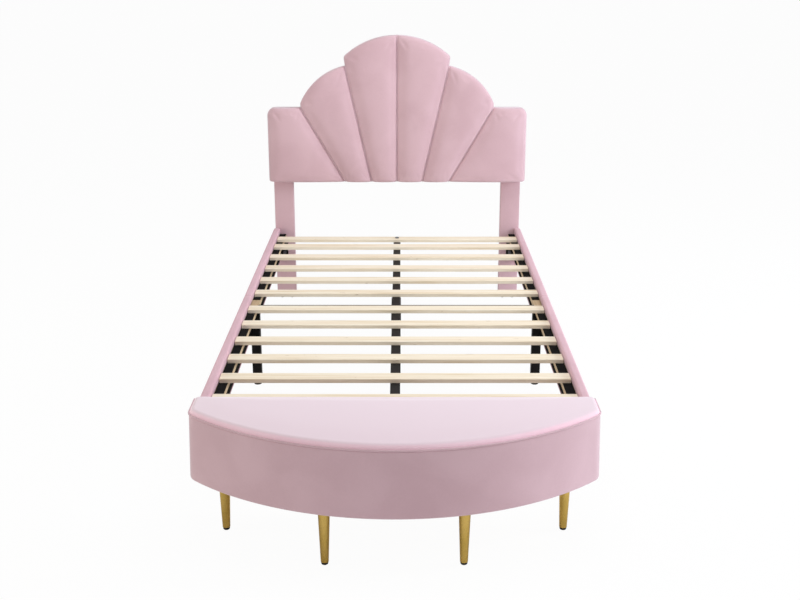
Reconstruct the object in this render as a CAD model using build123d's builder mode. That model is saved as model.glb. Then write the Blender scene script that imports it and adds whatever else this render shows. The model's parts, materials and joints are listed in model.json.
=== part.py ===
from build123d import *
import math
import os

os.makedirs("parts", exist_ok=True)

# Single bed with a shell headboard of padded channels and a half-round padded foot bench.
# Millimetres. +Z is up, +Y runs from the foot bench to the headboard, and +X is to the right
# for someone who stands at the foot and looks at the headboard. The origin is on the floor
# under the middle of the bed. Left is -X and right is +X.

# Whole bed: the well takes the mattress, and headboard and bench overhang the rails beside it
well_width = 1000.0
well_length = 1980.0
side_overhang = 10.0
fit_gap = 0.3
overrun = 5.0

# Side rails: a board wrapped in padded velvet, in two halves that meet at mid length
rail_thickness = 25.0
rail_height = 145.0
rail_top = 311.0
rail_pad = 3.0
rail_lip = 23.0
rail_low_lip = 5.0
rail_corner = 5.0
lining_thickness = 1.0

# Slats and what carries them
slat_drop = 14.0
slat_thickness = 12.0
slat_width = 50.0
slat_end_room = 2.0
slat_edge_radius = 2.0
foot_slat_count = 6
head_slat_count = 5
slat_bench_room = 86.5
slat_joint_room_foot = 96.0
slat_joint_room_head = 93.0
slat_post_room = 243.0
tape_thickness = 1.5
tape_width = 26.0
tape_break = 70.0
batten_height = 16.0
batten_width = 28.0
batten_end_room = 2.0

# Steel centre beam, cross bars and their three legs
beam_width = 28.0
beam_height = 33.5
beam_wall = 1.5
beam_head_setback = 95.0
sleeve_wall = 2.0
sleeve_length = 210.0
support_offset = 37.0
cross_bar_width = 20.0
steel_leg_size = 30.0
steel_leg_wall = 1.5
leg_end_plate = 6.0
leg_top_plate = 3.0
leg_plate_reach = 8.0
leg_rail_gap = 1.0
glide_foot_height = 10.0
glide_foot_radius = 13.0
glide_foot_round = 2.0
glide_stud_radius = 4.0
glide_stud_length = 24.0
glide_stud_clearance = 0.05
end_bracket_width = 90.0
end_bracket_height = 56.0
end_bracket_reach = 40.0

# Headboard: board core, six channel pads, piping in the five seams, back cloth
panel_bottom = 519.0
panel_depth = 58.0
shoulder_rise = 307.0
shoulder_radius = 32.0
lower_corner_radius = 15.0
outer_lobe_step = 18.0
outer_lobe_rise = 151.0
outer_lobe_radius = 257.0
middle_lobe_step = 41.8
middle_lobe_radius = 320.0
middle_lobe_corner = 20.0
outer_seam_top_share = 0.744
outer_seam_bottom_share = 0.404
inner_seam_top_share = 0.398
inner_seam_bottom_share = 0.197
core_thickness = 18.0
skirt_thickness = 3.0
back_cloth_thickness = 1.5
channel_crown = 10.0
channel_edge_radius = 13.0
piping_radius = 2.0

# Posts that carry the headboard, and the glides under them
post_width = 82.0
post_thickness = 25.0
post_top_drop = 26.0
post_inset = 16.0
post_corner = 4.0
post_glide_height = 8.0
post_glide_radius = 9.0
post_glide_spread = 42.0

# Half-round foot bench
bench_bottom = 150.0
bench_seam_height = 330.0
bench_side_depth = 110.4
bench_bow = 224.6
bench_corner_radius = 50.0
bench_cover_thickness = 6.0
bench_cover_hem_radius = 5.0
bench_ply_thickness = 5.0
bench_board_thickness = 15.0
bench_back_thickness = 18.0
bench_top_thickness = 12.0
bench_top_drop = 18.0
bench_rib_x = 180.0
welt_radius = 2.5
seam_roll_radius = 4.0
pad_roll_radius = 5.0
pad_crown = 4.0
pad_crown_run = 55.0
roll_steps = 3
crown_steps = 3

# Tapered bench legs
bench_leg_top_radius = 15.0
bench_leg_end_radius = 10.0
bench_leg_plate = 36.0
bench_leg_plate_thickness = 3.0
bench_foot_height = 8.0
bench_foot_radius = 9.0
inner_leg_x = 173.0
inner_leg_setback = 52.0
outer_leg_inset = 92.0
outer_leg_setback = 232.0

# Bolts and pressed steel brackets
bolt_radius = 4.0
bolt_clearance = 0.2
bolt_length = 20.0
bolt_head_radius = 8.0
bolt_head_height = 4.0
panel_bolt_length = 38.0
panel_bolt_rows = 3
panel_bolt_rise = 41.0
panel_bolt_pitch = 100.0
bracket_thickness = 3.0
bracket_height = 54.0
bracket_rail_reach = 55.0
bracket_post_reach = 35.0
rail_bolt_place = 34.0
post_bolt_place = 19.0
bracket_bolt_spread = 28.0
splice_length = 150.0
splice_bolt_places = (13.0, 62.0)

# Heights and lengths that follow from these
overall_width = well_width + 2 * (rail_thickness + side_overhang)
rail_bottom = rail_top - rail_height
slat_top = rail_top - slat_drop
slat_underside = slat_top - slat_thickness
batten_top = slat_underside - tape_thickness
batten_bottom = batten_top - batten_height
beam_bottom = slat_underside - beam_height
bracket_middle = (batten_bottom + rail_bottom + rail_low_lip) / 2
bench_depth = bench_side_depth + bench_bow
total_length = bench_depth + well_length + post_thickness + bolt_head_height
bench_front_y = -total_length / 2
bench_back_y = bench_front_y + bench_depth
post_front_y = bench_back_y + well_length
post_back_y = post_front_y + post_thickness
rail_joint_y = (bench_back_y + post_front_y) / 2
support_y = rail_joint_y - support_offset
rail_inner_x = well_width / 2
rail_outer_x = rail_inner_x + rail_thickness
rail_core_inner_x = rail_inner_x + rail_pad
rail_core_outer_x = rail_outer_x - rail_pad
lining_x = rail_core_inner_x - lining_thickness
batten_inner_x = lining_x - batten_width
outer_seam_top_x = outer_seam_top_share * overall_width / 2
outer_seam_bottom_x = outer_seam_bottom_share * overall_width / 2
inner_seam_top_x = inner_seam_top_share * overall_width / 2
inner_seam_bottom_x = inner_seam_bottom_share * overall_width / 2
shoulder_height = panel_bottom + shoulder_rise
outer_lobe_start = shoulder_height + outer_lobe_step
inner_lobe_start = outer_lobe_start + outer_lobe_rise
middle_lobe_side = inner_lobe_start + middle_lobe_step
middle_lobe_bow = middle_lobe_radius - math.sqrt(middle_lobe_radius**2 - inner_seam_top_x**2)
peak_height = middle_lobe_side + middle_lobe_bow
post_top = shoulder_height - post_top_drop
post_outer_x = overall_width / 2 - post_inset
post_middle_x = post_outer_x - post_width / 2
post_glide_places = [
    (side * post_middle_x + shift, (post_front_y + post_back_y) / 2)
    for side in (-1, 1)
    for shift in (-post_glide_spread / 2, post_glide_spread / 2)
]

sides = (("left", -1), ("right", 1))
rail_halves = (("foot", bench_back_y, rail_joint_y), ("head", rail_joint_y, post_front_y))


def save(part, name):
    """Label a finished piece and write its STEP file."""
    part.label = name
    export_step(part, f"parts/{name}.step")


def nest_depth(roll, cord, gap):
    """How far a round cord's centre stands out of the faces whose rolled edges it nests between."""
    return math.sqrt((roll + cord + gap) ** 2 - roll**2) - roll


def rectangle_between(x_low, x_high, y_low, y_high, mode=Mode.ADD):
    """A rectangle in the current sketch, from its low and high sides."""
    with Locations(((x_low + x_high) / 2, (y_low + y_high) / 2)):
        Rectangle(x_high - x_low, y_high - y_low, mode=mode)


def across(side, near, far):
    """The low and high X of a piece that spans two distances on one side of the bed."""
    return sorted((side * near, side * far))


# Where the bolts go. Each place is a plane whose normal points out of the bolt's head.
def rail_bolt_planes():
    """Two bolts into the rail and two into the post or the bench, at each of the four corners."""
    planes = []
    for side_name, side in sides:
        for end_y, inward in ((bench_back_y, 1), (post_front_y, -1)):
            for lift in (-bracket_bolt_spread / 2, bracket_bolt_spread / 2):
                height = bracket_middle + lift
                rail_face = side * (lining_x - bracket_thickness)
                along = end_y + inward * rail_bolt_place
                planes.append(Plane((rail_face, along, height), z_dir=(-side, 0, 0)))
                sideways = side * (lining_x - post_bolt_place)
                end_face = end_y + inward * bracket_thickness
                planes.append(Plane((sideways, end_face, height), z_dir=(0, inward, 0)))
    return planes


def splice_bolt_planes():
    """Four bolts through each plate that joins two rail halves."""
    planes = []
    for side_name, side in sides:
        for place in splice_bolt_places:
            for along in (rail_joint_y - place, rail_joint_y + place):
                face = side * (lining_x - bracket_thickness)
                planes.append(Plane((face, along, bracket_middle), z_dir=(-side, 0, 0)))
    return planes


def panel_bolt_planes():
    """Three bolts through each post into the headboard's core."""
    planes = []
    for side_name, side in sides:
        for row in range(panel_bolt_rows):
            height = panel_bottom + panel_bolt_rise + row * panel_bolt_pitch
            planes.append(Plane((side * post_middle_x, post_back_y, height), z_dir=(0, 1, 0)))
    return planes


beam_bolt_y = post_front_y - beam_head_setback - slat_width / 2
beam_bolt_plane = Plane((0, beam_bolt_y, slat_top), z_dir=(0, 0, 1))
frame_bolt_planes = rail_bolt_planes() + splice_bolt_planes() + [beam_bolt_plane]


def drill(planes, length):
    """Clearance holes for bolts of one length, cut from the current part."""
    with BuildSketch(*planes) as holes:
        Circle(bolt_radius + bolt_clearance)
    extrude(holes.sketch, amount=-(length + fit_gap), mode=Mode.SUBTRACT)


# Bolt with a domed head, drawn once on the Z axis with its seat at zero
def make_bolt(length):
    with BuildPart() as bolt:
        with BuildSketch():
            Circle(bolt_head_radius)
        extrude(amount=bolt_head_height)
        fillet(bolt.faces().sort_by(Axis.Z)[-1].edges(), radius=bolt_head_height / 2)
        with BuildSketch():
            Circle(bolt_radius)
        extrude(amount=-length)
    return bolt.part


frame_bolt = make_bolt(bolt_length)
with BuildPart() as frame_bolts:
    for plane in frame_bolt_planes:
        with Locations(plane.location):
            add(frame_bolt)
save(frame_bolts.part, "frame_bolts")

panel_bolt = make_bolt(panel_bolt_length)
with BuildPart() as headboard_bolts:
    for plane in panel_bolt_planes():
        with Locations(plane.location):
            add(panel_bolt)
save(headboard_bolts.part, "headboard_bolts")

# Side rails: four board halves, each in its own velvet wrap that turns over both edges
for side_name, side in sides:
    for end_name, low_y, high_y in rail_halves:
        rail_plane = Plane.XZ.offset(-high_y)
        with BuildPart() as rail_core:
            with BuildSketch(rail_plane):
                low_x, high_x = across(side, rail_core_inner_x, rail_core_outer_x)
                rectangle_between(low_x, high_x, rail_bottom + rail_pad, rail_top - rail_pad)
            extrude(amount=high_y - low_y)
            drill(frame_bolt_planes, bolt_length)
        save(rail_core.part, f"rail_core_{side_name}_{end_name}")

        with BuildPart() as rail_cover:
            with BuildSketch(rail_plane) as wrap:
                low_x, high_x = across(side, rail_inner_x, rail_outer_x)
                rectangle_between(low_x, high_x, rail_bottom, rail_top)
                fillet(wrap.vertices(), radius=rail_corner)
                low_x, high_x = across(side, rail_core_inner_x, rail_core_outer_x)
                rectangle_between(
                    low_x, high_x, rail_bottom + rail_pad, rail_top - rail_pad, Mode.SUBTRACT
                )
                low_x, high_x = across(side, rail_inner_x - overrun, rail_core_inner_x)
                rectangle_between(
                    low_x, high_x, rail_bottom + rail_low_lip, rail_top - rail_lip, Mode.SUBTRACT
                )
            extrude(amount=high_y - low_y)
        save(rail_cover.part, f"rail_cover_{side_name}_{end_name}")

# Black lining cloth between the lips of the wrap, on each rail half's inner face
with BuildPart() as rail_lining:
    for side_name, side in sides:
        for end_name, low_y, high_y in rail_halves:
            with BuildSketch(Plane.XZ.offset(-high_y)):
                low_x, high_x = across(side, lining_x, rail_core_inner_x)
                rectangle_between(low_x, high_x, rail_bottom + rail_low_lip, rail_top - rail_lip)
            extrude(amount=high_y - low_y - fit_gap)
    drill(frame_bolt_planes, bolt_length)
save(rail_lining.part, "rail_lining")

# Wooden battens along the rails, with hook tape on them that stops short of the rail joint
with BuildPart() as slat_battens:
    for side_name, side in sides:
        for low_y, high_y in (
            (bench_back_y + batten_end_room, rail_joint_y - fit_gap),
            (rail_joint_y + fit_gap, post_front_y - batten_end_room),
        ):
            with BuildSketch(Plane.XZ.offset(-high_y)):
                low_x, high_x = across(side, batten_inner_x, lining_x)
                rectangle_between(low_x, high_x, batten_bottom, batten_top)
            extrude(amount=high_y - low_y)
save(slat_battens.part, "slat_battens")

with BuildPart() as slat_tape:
    for side_name, side in sides:
        for low_y, high_y in (
            (bench_back_y + batten_end_room, rail_joint_y - tape_break / 2),
            (rail_joint_y + tape_break / 2, post_front_y - batten_end_room),
        ):
            with BuildSketch(Plane.XZ.offset(-high_y)):
                low_x, high_x = across(side, batten_inner_x, batten_inner_x + tape_width)
                rectangle_between(low_x, high_x, batten_top, slat_underside)
            extrude(amount=high_y - low_y)
save(slat_tape.part, "slat_tape")

# Slats, numbered from the foot: six before the rail joint, five after it, one near the headboard
first_slat_y = bench_back_y + slat_bench_room
foot_slat_pitch = (rail_joint_y - slat_joint_room_foot - first_slat_y) / (foot_slat_count - 1)
joint_slat_y = rail_joint_y + slat_joint_room_head
head_slat_pitch = (post_front_y - slat_post_room - joint_slat_y) / (head_slat_count - 1)
slat_places = [first_slat_y + row * foot_slat_pitch for row in range(foot_slat_count)]
slat_places += [joint_slat_y + row * head_slat_pitch for row in range(head_slat_count)]
slat_places.append(post_front_y - beam_head_setback - slat_width / 2)
slat_half_length = rail_inner_x - slat_end_room

for number, middle_y in enumerate(slat_places, start=1):
    with BuildPart() as slat:
        with BuildSketch(Plane.XY.offset(slat_underside)):
            rectangle_between(
                -slat_half_length,
                slat_half_length,
                middle_y - slat_width / 2,
                middle_y + slat_width / 2,
            )
        extrude(amount=slat_thickness)
        top_edges = slat.faces().sort_by(Axis.Z)[-1].edges().filter_by(Axis.X)
        fillet(top_edges, radius=slat_edge_radius)
        if number == len(slat_places):
            drill([beam_bolt_plane], bolt_length)
    save(slat.part, f"slat_{number:02d}")

# Centre beam: two lengths of square tube that meet in a pressed sleeve over the centre leg
beam_ends = (
    ("foot", bench_back_y + bracket_thickness, support_y),
    ("head", support_y, beam_bolt_y + slat_width / 2),
)
for end_name, low_y, high_y in beam_ends:
    with BuildPart() as beam:
        with BuildSketch(Plane.XZ.offset(-high_y)):
            rectangle_between(-beam_width / 2, beam_width / 2, beam_bottom, slat_underside)
            rectangle_between(
                beam_wall - beam_width / 2,
                beam_width / 2 - beam_wall,
                beam_bottom + beam_wall,
                slat_underside - beam_wall,
                Mode.SUBTRACT,
            )
        extrude(amount=high_y - low_y)
        drill([beam_bolt_plane], bolt_length)
    save(beam.part, f"beam_{end_name}")


def channel_section(sleeve_base, side_height):
    """A pressed steel U that holds the beam from below, with its floor under the beam."""
    outer = beam_width / 2 + fit_gap + sleeve_wall
    rectangle_between(-outer, outer, sleeve_base - sleeve_wall, sleeve_base + side_height)
    rectangle_between(
        sleeve_wall - outer,
        outer - sleeve_wall,
        sleeve_base,
        sleeve_base + side_height + overrun,
        Mode.SUBTRACT,
    )


sleeve_height = beam_height - sleeve_wall
with BuildPart() as beam_sleeve:
    with BuildSketch(Plane.XZ.offset(-(support_y + sleeve_length / 2))):
        channel_section(beam_bottom, sleeve_height)
    extrude(amount=sleeve_length)
save(beam_sleeve.part, "beam_sleeve")

# Bracket on the bench's back that takes the beam's foot end: a plate with a U-shaped shelf
with BuildPart() as beam_end_bracket:
    with BuildSketch(Plane.XZ.offset(-(bench_back_y + bracket_thickness))):
        rectangle_between(
            -end_bracket_width / 2,
            end_bracket_width / 2,
            slat_underside - end_bracket_height,
            slat_underside - sleeve_wall,
        )
    extrude(amount=bracket_thickness)
    with BuildSketch(Plane.XZ.offset(-(bench_back_y + end_bracket_reach))):
        channel_section(beam_bottom, sleeve_height / 2)
    extrude(amount=end_bracket_reach - bracket_thickness)
save(beam_end_bracket.part, "beam_end_bracket")

# Cross bars from the sleeve to the battens, level with the beam's top, on the side legs' plates
cross_bar_start = beam_width / 2 + fit_gap + sleeve_wall
with BuildPart() as cross_bars:
    for side_name, side in sides:
        low_x, high_x = across(side, cross_bar_start, batten_inner_x - fit_gap)
        with BuildSketch(Plane.YZ.offset(low_x)):
            rectangle_between(
                support_y - cross_bar_width / 2,
                support_y + cross_bar_width / 2,
                batten_bottom,
                slat_underside,
            )
            rectangle_between(
                support_y - cross_bar_width / 2 + beam_wall,
                support_y + cross_bar_width / 2 - beam_wall,
                batten_bottom + beam_wall,
                slat_underside - beam_wall,
                Mode.SUBTRACT,
            )
        extrude(amount=high_x - low_x)
save(cross_bars.part, "cross_bars")

# Steel legs: square tube with a threaded end plate below and a fixing plate above
side_leg_x = rail_inner_x - leg_rail_gap - steel_leg_size / 2
steel_legs = (
    ("left", -side_leg_x, batten_bottom, leg_plate_reach, 0),
    ("centre", 0, beam_bottom - sleeve_wall, 0, 0),
    ("right", side_leg_x, batten_bottom, 0, leg_plate_reach),
)
for leg_name, leg_x, leg_top, reach_right, reach_left in steel_legs:
    half = steel_leg_size / 2
    with BuildPart() as steel_leg:
        with BuildSketch(Plane.XY.offset(glide_foot_height)):
            rectangle_between(leg_x - half, leg_x + half, support_y - half, support_y + half)
        extrude(amount=leg_top - leg_top_plate - glide_foot_height)
        with BuildSketch(Plane.XY.offset(glide_foot_height + leg_end_plate)):
            inner = half - steel_leg_wall
            rectangle_between(
                leg_x - inner, leg_x + inner, support_y - inner, support_y + inner
            )
        extrude(amount=leg_top, mode=Mode.SUBTRACT)
        with BuildSketch(Plane.XY.offset(glide_foot_height)):
            with Locations((leg_x, support_y)):
                Circle(glide_stud_radius + glide_stud_clearance)
        extrude(amount=leg_end_plate, mode=Mode.SUBTRACT)
        with BuildSketch(Plane.XY.offset(leg_top - leg_top_plate)):
            rectangle_between(
                leg_x - half - reach_left,
                leg_x + half + reach_right,
                support_y - half,
                support_y + half,
            )
            rectangle_between(
                leg_x - inner,
                leg_x + inner,
                support_y - inner,
                support_y + inner,
                Mode.SUBTRACT,
            )
        extrude(amount=leg_top_plate)
    save(steel_leg.part, f"leg_{leg_name}")

    # Screw-in levelling glide: a round foot with a stud that runs in the leg's end plate
    with BuildPart() as glide:
        with BuildSketch(Plane.XY):
            with Locations((leg_x, support_y)):
                Circle(glide_foot_radius)
        extrude(amount=glide_foot_height)
        fillet(glide.faces().sort_by(Axis.Z)[0].edges(), radius=glide_foot_round)
        with BuildSketch(Plane.XY.offset(glide_foot_height)):
            with Locations((leg_x, support_y)):
                Circle(glide_stud_radius)
        extrude(amount=glide_stud_length)
    save(glide.part, f"glide_{leg_name}")

# Steel corner brackets, in an L, that join the rails to the posts and to the bench
with BuildPart() as rail_brackets:
    for side_name, side in sides:
        for end_y, inward in ((bench_back_y, 1), (post_front_y, -1)):
            with BuildSketch(Plane.XY.offset(bracket_middle - bracket_height / 2)):
                low_x, high_x = across(side, lining_x - bracket_thickness, lining_x)
                low_y, high_y = sorted((end_y, end_y + inward * bracket_rail_reach))
                rectangle_between(low_x, high_x, low_y, high_y)
                low_x, high_x = across(side, lining_x - bracket_post_reach, lining_x)
                low_y, high_y = sorted((end_y, end_y + inward * bracket_thickness))
                rectangle_between(low_x, high_x, low_y, high_y)
            extrude(amount=bracket_height)
    drill(rail_bolt_planes(), bolt_length)
save(rail_brackets.part, "rail_brackets")

with BuildPart() as splice_plates:
    for side_name, side in sides:
        with BuildSketch(Plane.XY.offset(bracket_middle - bracket_height / 2)):
            low_x, high_x = across(side, lining_x - bracket_thickness, lining_x)
            half = splice_length / 2
            rectangle_between(low_x, high_x, rail_joint_y - half, rail_joint_y + half)
        extrude(amount=bracket_height)
    drill(splice_bolt_planes(), bolt_length)
save(splice_plates.part, "splice_plates")

# Posts: velvet-covered boards behind the headboard, with two pressed glides under each
for side_name, side in sides:
    with BuildPart() as post:
        with BuildSketch(Plane.XY.offset(post_glide_height)):
            low_x, high_x = across(side, post_outer_x - post_width, post_outer_x)
            rectangle_between(low_x, high_x, post_front_y, post_back_y)
        extrude(amount=post_top - post_glide_height)
        back_edges = post.edges().filter_by(Axis.Z).group_by(Axis.Y)[-1]
        fillet(back_edges, radius=post_corner)
        drill(panel_bolt_planes(), panel_bolt_length)
        drill(rail_bolt_planes(), bolt_length)
    save(post.part, f"post_{side_name}")

with BuildPart() as post_glides:
    with BuildSketch(Plane.XY):
        with Locations(*post_glide_places):
            Circle(post_glide_radius)
    extrude(amount=post_glide_height)
    low_edges = post_glides.faces().group_by(Axis.Z)[0].edges()
    fillet(low_edges, radius=post_glide_height / 2)
save(post_glides.part, "post_glides")


# Headboard outline: shoulders, two outer lobes and one high middle lobe, each a step above the last
def headboard_outline(inset):
    """The whole outline as a sketch in X and Z, drawn as its right half and mirrored."""
    half_width = overall_width / 2
    with BuildSketch() as outline:
        with BuildLine():
            Line((0, panel_bottom), (half_width, panel_bottom))
            Line((half_width, panel_bottom), (half_width, shoulder_height))
            Line((half_width, shoulder_height), (outer_seam_top_x, shoulder_height))
            Line((outer_seam_top_x, shoulder_height), (outer_seam_top_x, outer_lobe_start))
            RadiusArc(
                (outer_seam_top_x, outer_lobe_start),
                (inner_seam_top_x, inner_lobe_start),
                -outer_lobe_radius,
            )
            Line((inner_seam_top_x, inner_lobe_start), (inner_seam_top_x, middle_lobe_side))
            RadiusArc((inner_seam_top_x, middle_lobe_side), (0, peak_height), -middle_lobe_radius)
            Line((0, peak_height), (0, panel_bottom))
        make_face()
        for corner, radius in (
            ((half_width, shoulder_height), shoulder_radius),
            ((half_width, panel_bottom), lower_corner_radius),
            ((inner_seam_top_x, middle_lobe_side), middle_lobe_corner),
        ):
            fillet(outline.vertices().sort_by_distance(corner)[0], radius=radius)
        mirror(about=Plane.YZ)
        if inset:
            offset(amount=-inset)
    return outline.sketch


panel_back_plane = Plane.XZ.offset(-post_front_y)
core_pocket_depth = back_cloth_thickness + core_thickness
core_outline = headboard_outline(skirt_thickness)
full_outline = headboard_outline(0)

with BuildPart() as headboard_core:
    with BuildSketch(panel_back_plane.offset(back_cloth_thickness)):
        add(core_outline)
    extrude(amount=core_thickness)
    drill(panel_bolt_planes(), panel_bolt_length)
save(headboard_core.part, "headboard_core")

with BuildPart() as headboard_back_cloth:
    with BuildSketch(panel_back_plane):
        add(core_outline)
    extrude(amount=back_cloth_thickness)
    drill(panel_bolt_planes(), panel_bolt_length)
save(headboard_back_cloth.part, "headboard_back_cloth")

# The seams fan out from the bottom edge: each is a straight line from its foot to its top
centre_seam = ((0, panel_bottom), (0, peak_height))
inner_seam = ((inner_seam_bottom_x, panel_bottom), (inner_seam_top_x, inner_lobe_start))
outer_seam = ((outer_seam_bottom_x, panel_bottom), (outer_seam_top_x, shoulder_height))
panel_edge = ((overall_width / 2, panel_bottom), (overall_width / 2, shoulder_height))


def seam_x(seam, height):
    """Where a seam's straight line is at a height."""
    (foot_x, foot_z), (top_x, top_z) = seam
    return foot_x + (top_x - foot_x) * (height - foot_z) / (top_z - foot_z)


# Channel pads, drawn with the panel's back at zero and then set against the posts: the front is
# an arc from seam to seam that widens with the fan, trimmed by the outline, rolled over at every
# front edge, and hollowed at the back so that its skirt wraps round the core's edge
pad_edge_y = channel_crown - panel_depth
panel_edge_y = post_front_y + pad_edge_y
channel_bounds = (
    (centre_seam, inner_seam, peak_height),
    (inner_seam, outer_seam, inner_lobe_start),
    (outer_seam, panel_edge, shoulder_height),
)
for step, (near_seam, far_seam, channel_top) in enumerate(channel_bounds):
    with BuildPart() as channel:
        for height in (panel_bottom - overrun, channel_top + overrun):
            near_x = seam_x(near_seam, height)
            far_x = seam_x(far_seam, height)
            with BuildSketch(Plane.XY.offset(height)):
                with BuildLine():
                    Line((near_x, pad_edge_y), (near_x, 0))
                    Line((near_x, 0), (far_x, 0))
                    Line((far_x, 0), (far_x, pad_edge_y))
                    ThreePointArc(
                        (far_x, pad_edge_y),
                        ((near_x + far_x) / 2, -panel_depth),
                        (near_x, pad_edge_y),
                    )
                make_face()
        loft(ruled=True)
        with BuildSketch(Plane.XZ):
            add(full_outline)
        extrude(amount=panel_depth + overrun, mode=Mode.INTERSECT)
        front_edges = channel.faces().sort_by(Axis.Y)[0].edges()
        fillet(front_edges, radius=channel_edge_radius)
        with BuildSketch(Plane.XZ):
            add(core_outline)
        extrude(amount=core_pocket_depth, mode=Mode.SUBTRACT)
    placed = Pos(0, post_front_y, 0) * channel.part
    save(placed, f"headboard_channel_{4 + step}")
    save(mirror(placed, about=Plane.YZ), f"headboard_channel_{3 - step}")

seam_lines = (centre_seam, inner_seam, outer_seam, panel_edge)


def narrow_side(index, height):
    """The width of the narrower of the two pads that meet in a seam, at a height."""
    places = [seam_x(line, height) for line in seam_lines]
    widths = [far - near for near, far in zip(places, places[1:])]
    return min(widths[max(index - 1, 0)], widths[index])


def piping_depth(width):
    """How deep a cord lies in the valley between two pads of this width, whose fronts slope."""
    front_radius = (width**2 / 4 + channel_crown**2) / (2 * channel_crown)
    slope = math.asin(width / 2 / front_radius)
    roll_depth = channel_edge_radius * (1 - math.sin(slope)) / math.cos(slope)
    nest = nest_depth(channel_edge_radius, piping_radius, fit_gap)
    return roll_depth - channel_edge_radius - nest


# Piping: a thin cord in the valley of each seam, deeper towards the top where the pads are wider
piping_runs = [(0, 1)] + [(index, side) for index in (1, 2) for side in (-1, 1)]
with BuildPart() as headboard_piping:
    for index, side in piping_runs:
        (foot_x, foot_z), (top_x, top_z) = seam_lines[index]
        seam = Vector(side * (top_x - foot_x), 0, top_z - foot_z)
        upright_share = seam.Z / seam.length
        ends = []
        for start_x, start_z, along in (
            (foot_x, foot_z, channel_edge_radius),
            (top_x, top_z, -channel_edge_radius),
        ):
            depth = piping_depth(narrow_side(index, start_z) * upright_share)
            corner = Vector(side * start_x, panel_edge_y + depth, start_z)
            ends.append(corner + seam.normalized() * along)
        run = ends[1] - ends[0]
        with BuildSketch(Plane(ends[0], z_dir=run)):
            Circle(piping_radius)
        extrude(amount=run.length)
save(headboard_piping.part, "headboard_piping")

# Foot bench plan: straight back, short straight sides, one large arc in front
welt_stand_out = nest_depth(seam_roll_radius, welt_radius, fit_gap)
bench_face_inset = welt_stand_out + welt_radius
bench_half_width = overall_width / 2 - bench_face_inset
bench_front_radius = (bench_half_width**2 + bench_bow**2) / (2 * bench_bow)


def bench_plan(inset, back_inset=None):
    """The bench's plan, drawn inside its velvet face by an inset, as a sketch in X and Y."""
    half_width = bench_half_width - inset
    radius = bench_front_radius - inset
    arc_centre_y = bench_front_y + bench_face_inset + bench_front_radius
    corner_y = arc_centre_y - math.sqrt(radius**2 - half_width**2)
    back_y = bench_back_y - (inset if back_inset is None else back_inset)
    with BuildSketch() as plan:
        with BuildLine():
            Line((half_width, back_y), (-half_width, back_y))
            Line((-half_width, back_y), (-half_width, corner_y))
            ThreePointArc(
                (-half_width, corner_y), (0, arc_centre_y - radius), (half_width, corner_y)
            )
            Line((half_width, corner_y), (half_width, back_y))
        make_face()
        for side_name, side in sides:
            corner = plan.vertices().sort_by_distance((side * half_width, corner_y))[0]
            fillet(corner, radius=min(bench_corner_radius, back_y - corner_y))
    return plan.sketch


bench_top_underside = bench_seam_height - bench_top_drop - bench_top_thickness
bench_wall_inset = bench_cover_thickness + bench_ply_thickness
bench_back_front_y = bench_back_y - bench_cover_thickness - bench_back_thickness

with BuildPart() as bench_bottom_board:
    with BuildSketch(Plane.XY.offset(bench_bottom)):
        add(bench_plan(bench_wall_inset, bench_cover_thickness + bench_back_thickness))
    extrude(amount=bench_board_thickness)
save(bench_bottom_board.part, "bench_bottom_board")

with BuildPart() as bench_front_ply:
    with BuildSketch(Plane.XY.offset(bench_bottom)):
        add(bench_plan(bench_cover_thickness, bench_cover_thickness + bench_back_thickness))
        add(bench_plan(bench_wall_inset, -overrun), mode=Mode.SUBTRACT)
    extrude(amount=bench_top_underside - bench_bottom)
save(bench_front_ply.part, "bench_front_ply")

bench_back_half = bench_half_width - bench_cover_thickness
with BuildPart() as bench_back_board:
    with BuildSketch(Plane.XY.offset(bench_bottom)):
        rectangle_between(
            -bench_back_half,
            bench_back_half,
            bench_back_front_y,
            bench_back_y - bench_cover_thickness,
        )
    extrude(amount=bench_top_underside - bench_bottom)
    drill(rail_bolt_planes(), bolt_length)
save(bench_back_board.part, "bench_back_board")

with BuildPart() as bench_ribs:
    for side_name, side in sides:
        with BuildSketch(Plane.XY.offset(bench_bottom + bench_board_thickness)):
            add(bench_plan(bench_wall_inset, bench_cover_thickness + bench_back_thickness))
            low_x = side * bench_rib_x - bench_board_thickness / 2
            rectangle_between(
                low_x,
                low_x + bench_board_thickness,
                bench_front_y,
                bench_back_y,
                Mode.INTERSECT,
            )
        extrude(amount=bench_top_underside - bench_bottom - bench_board_thickness)
save(bench_ribs.part, "bench_ribs")

with BuildPart() as bench_top_board:
    with BuildSketch(Plane.XY.offset(bench_top_underside)):
        add(bench_plan(bench_cover_thickness))
    extrude(amount=bench_top_thickness)
save(bench_top_board.part, "bench_top_board")

# Velvet cover round the bench, rolled in at the top seam and at the hem
with BuildPart() as bench_side_cover:
    with BuildSketch(Plane.XY.offset(bench_bottom)):
        add(bench_plan(0))
    extrude(amount=bench_seam_height - bench_bottom)
    fillet(bench_side_cover.faces().sort_by(Axis.Z)[-1].edges(), radius=seam_roll_radius)
    fillet(bench_side_cover.faces().sort_by(Axis.Z)[0].edges(), radius=bench_cover_hem_radius)
    with BuildSketch(Plane.XY.offset(bench_bottom)):
        add(bench_plan(bench_cover_thickness))
    extrude(amount=bench_seam_height - bench_bottom, mode=Mode.SUBTRACT)
    drill(rail_bolt_planes(), bolt_length)
save(bench_side_cover.part, "bench_side_cover")


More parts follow.
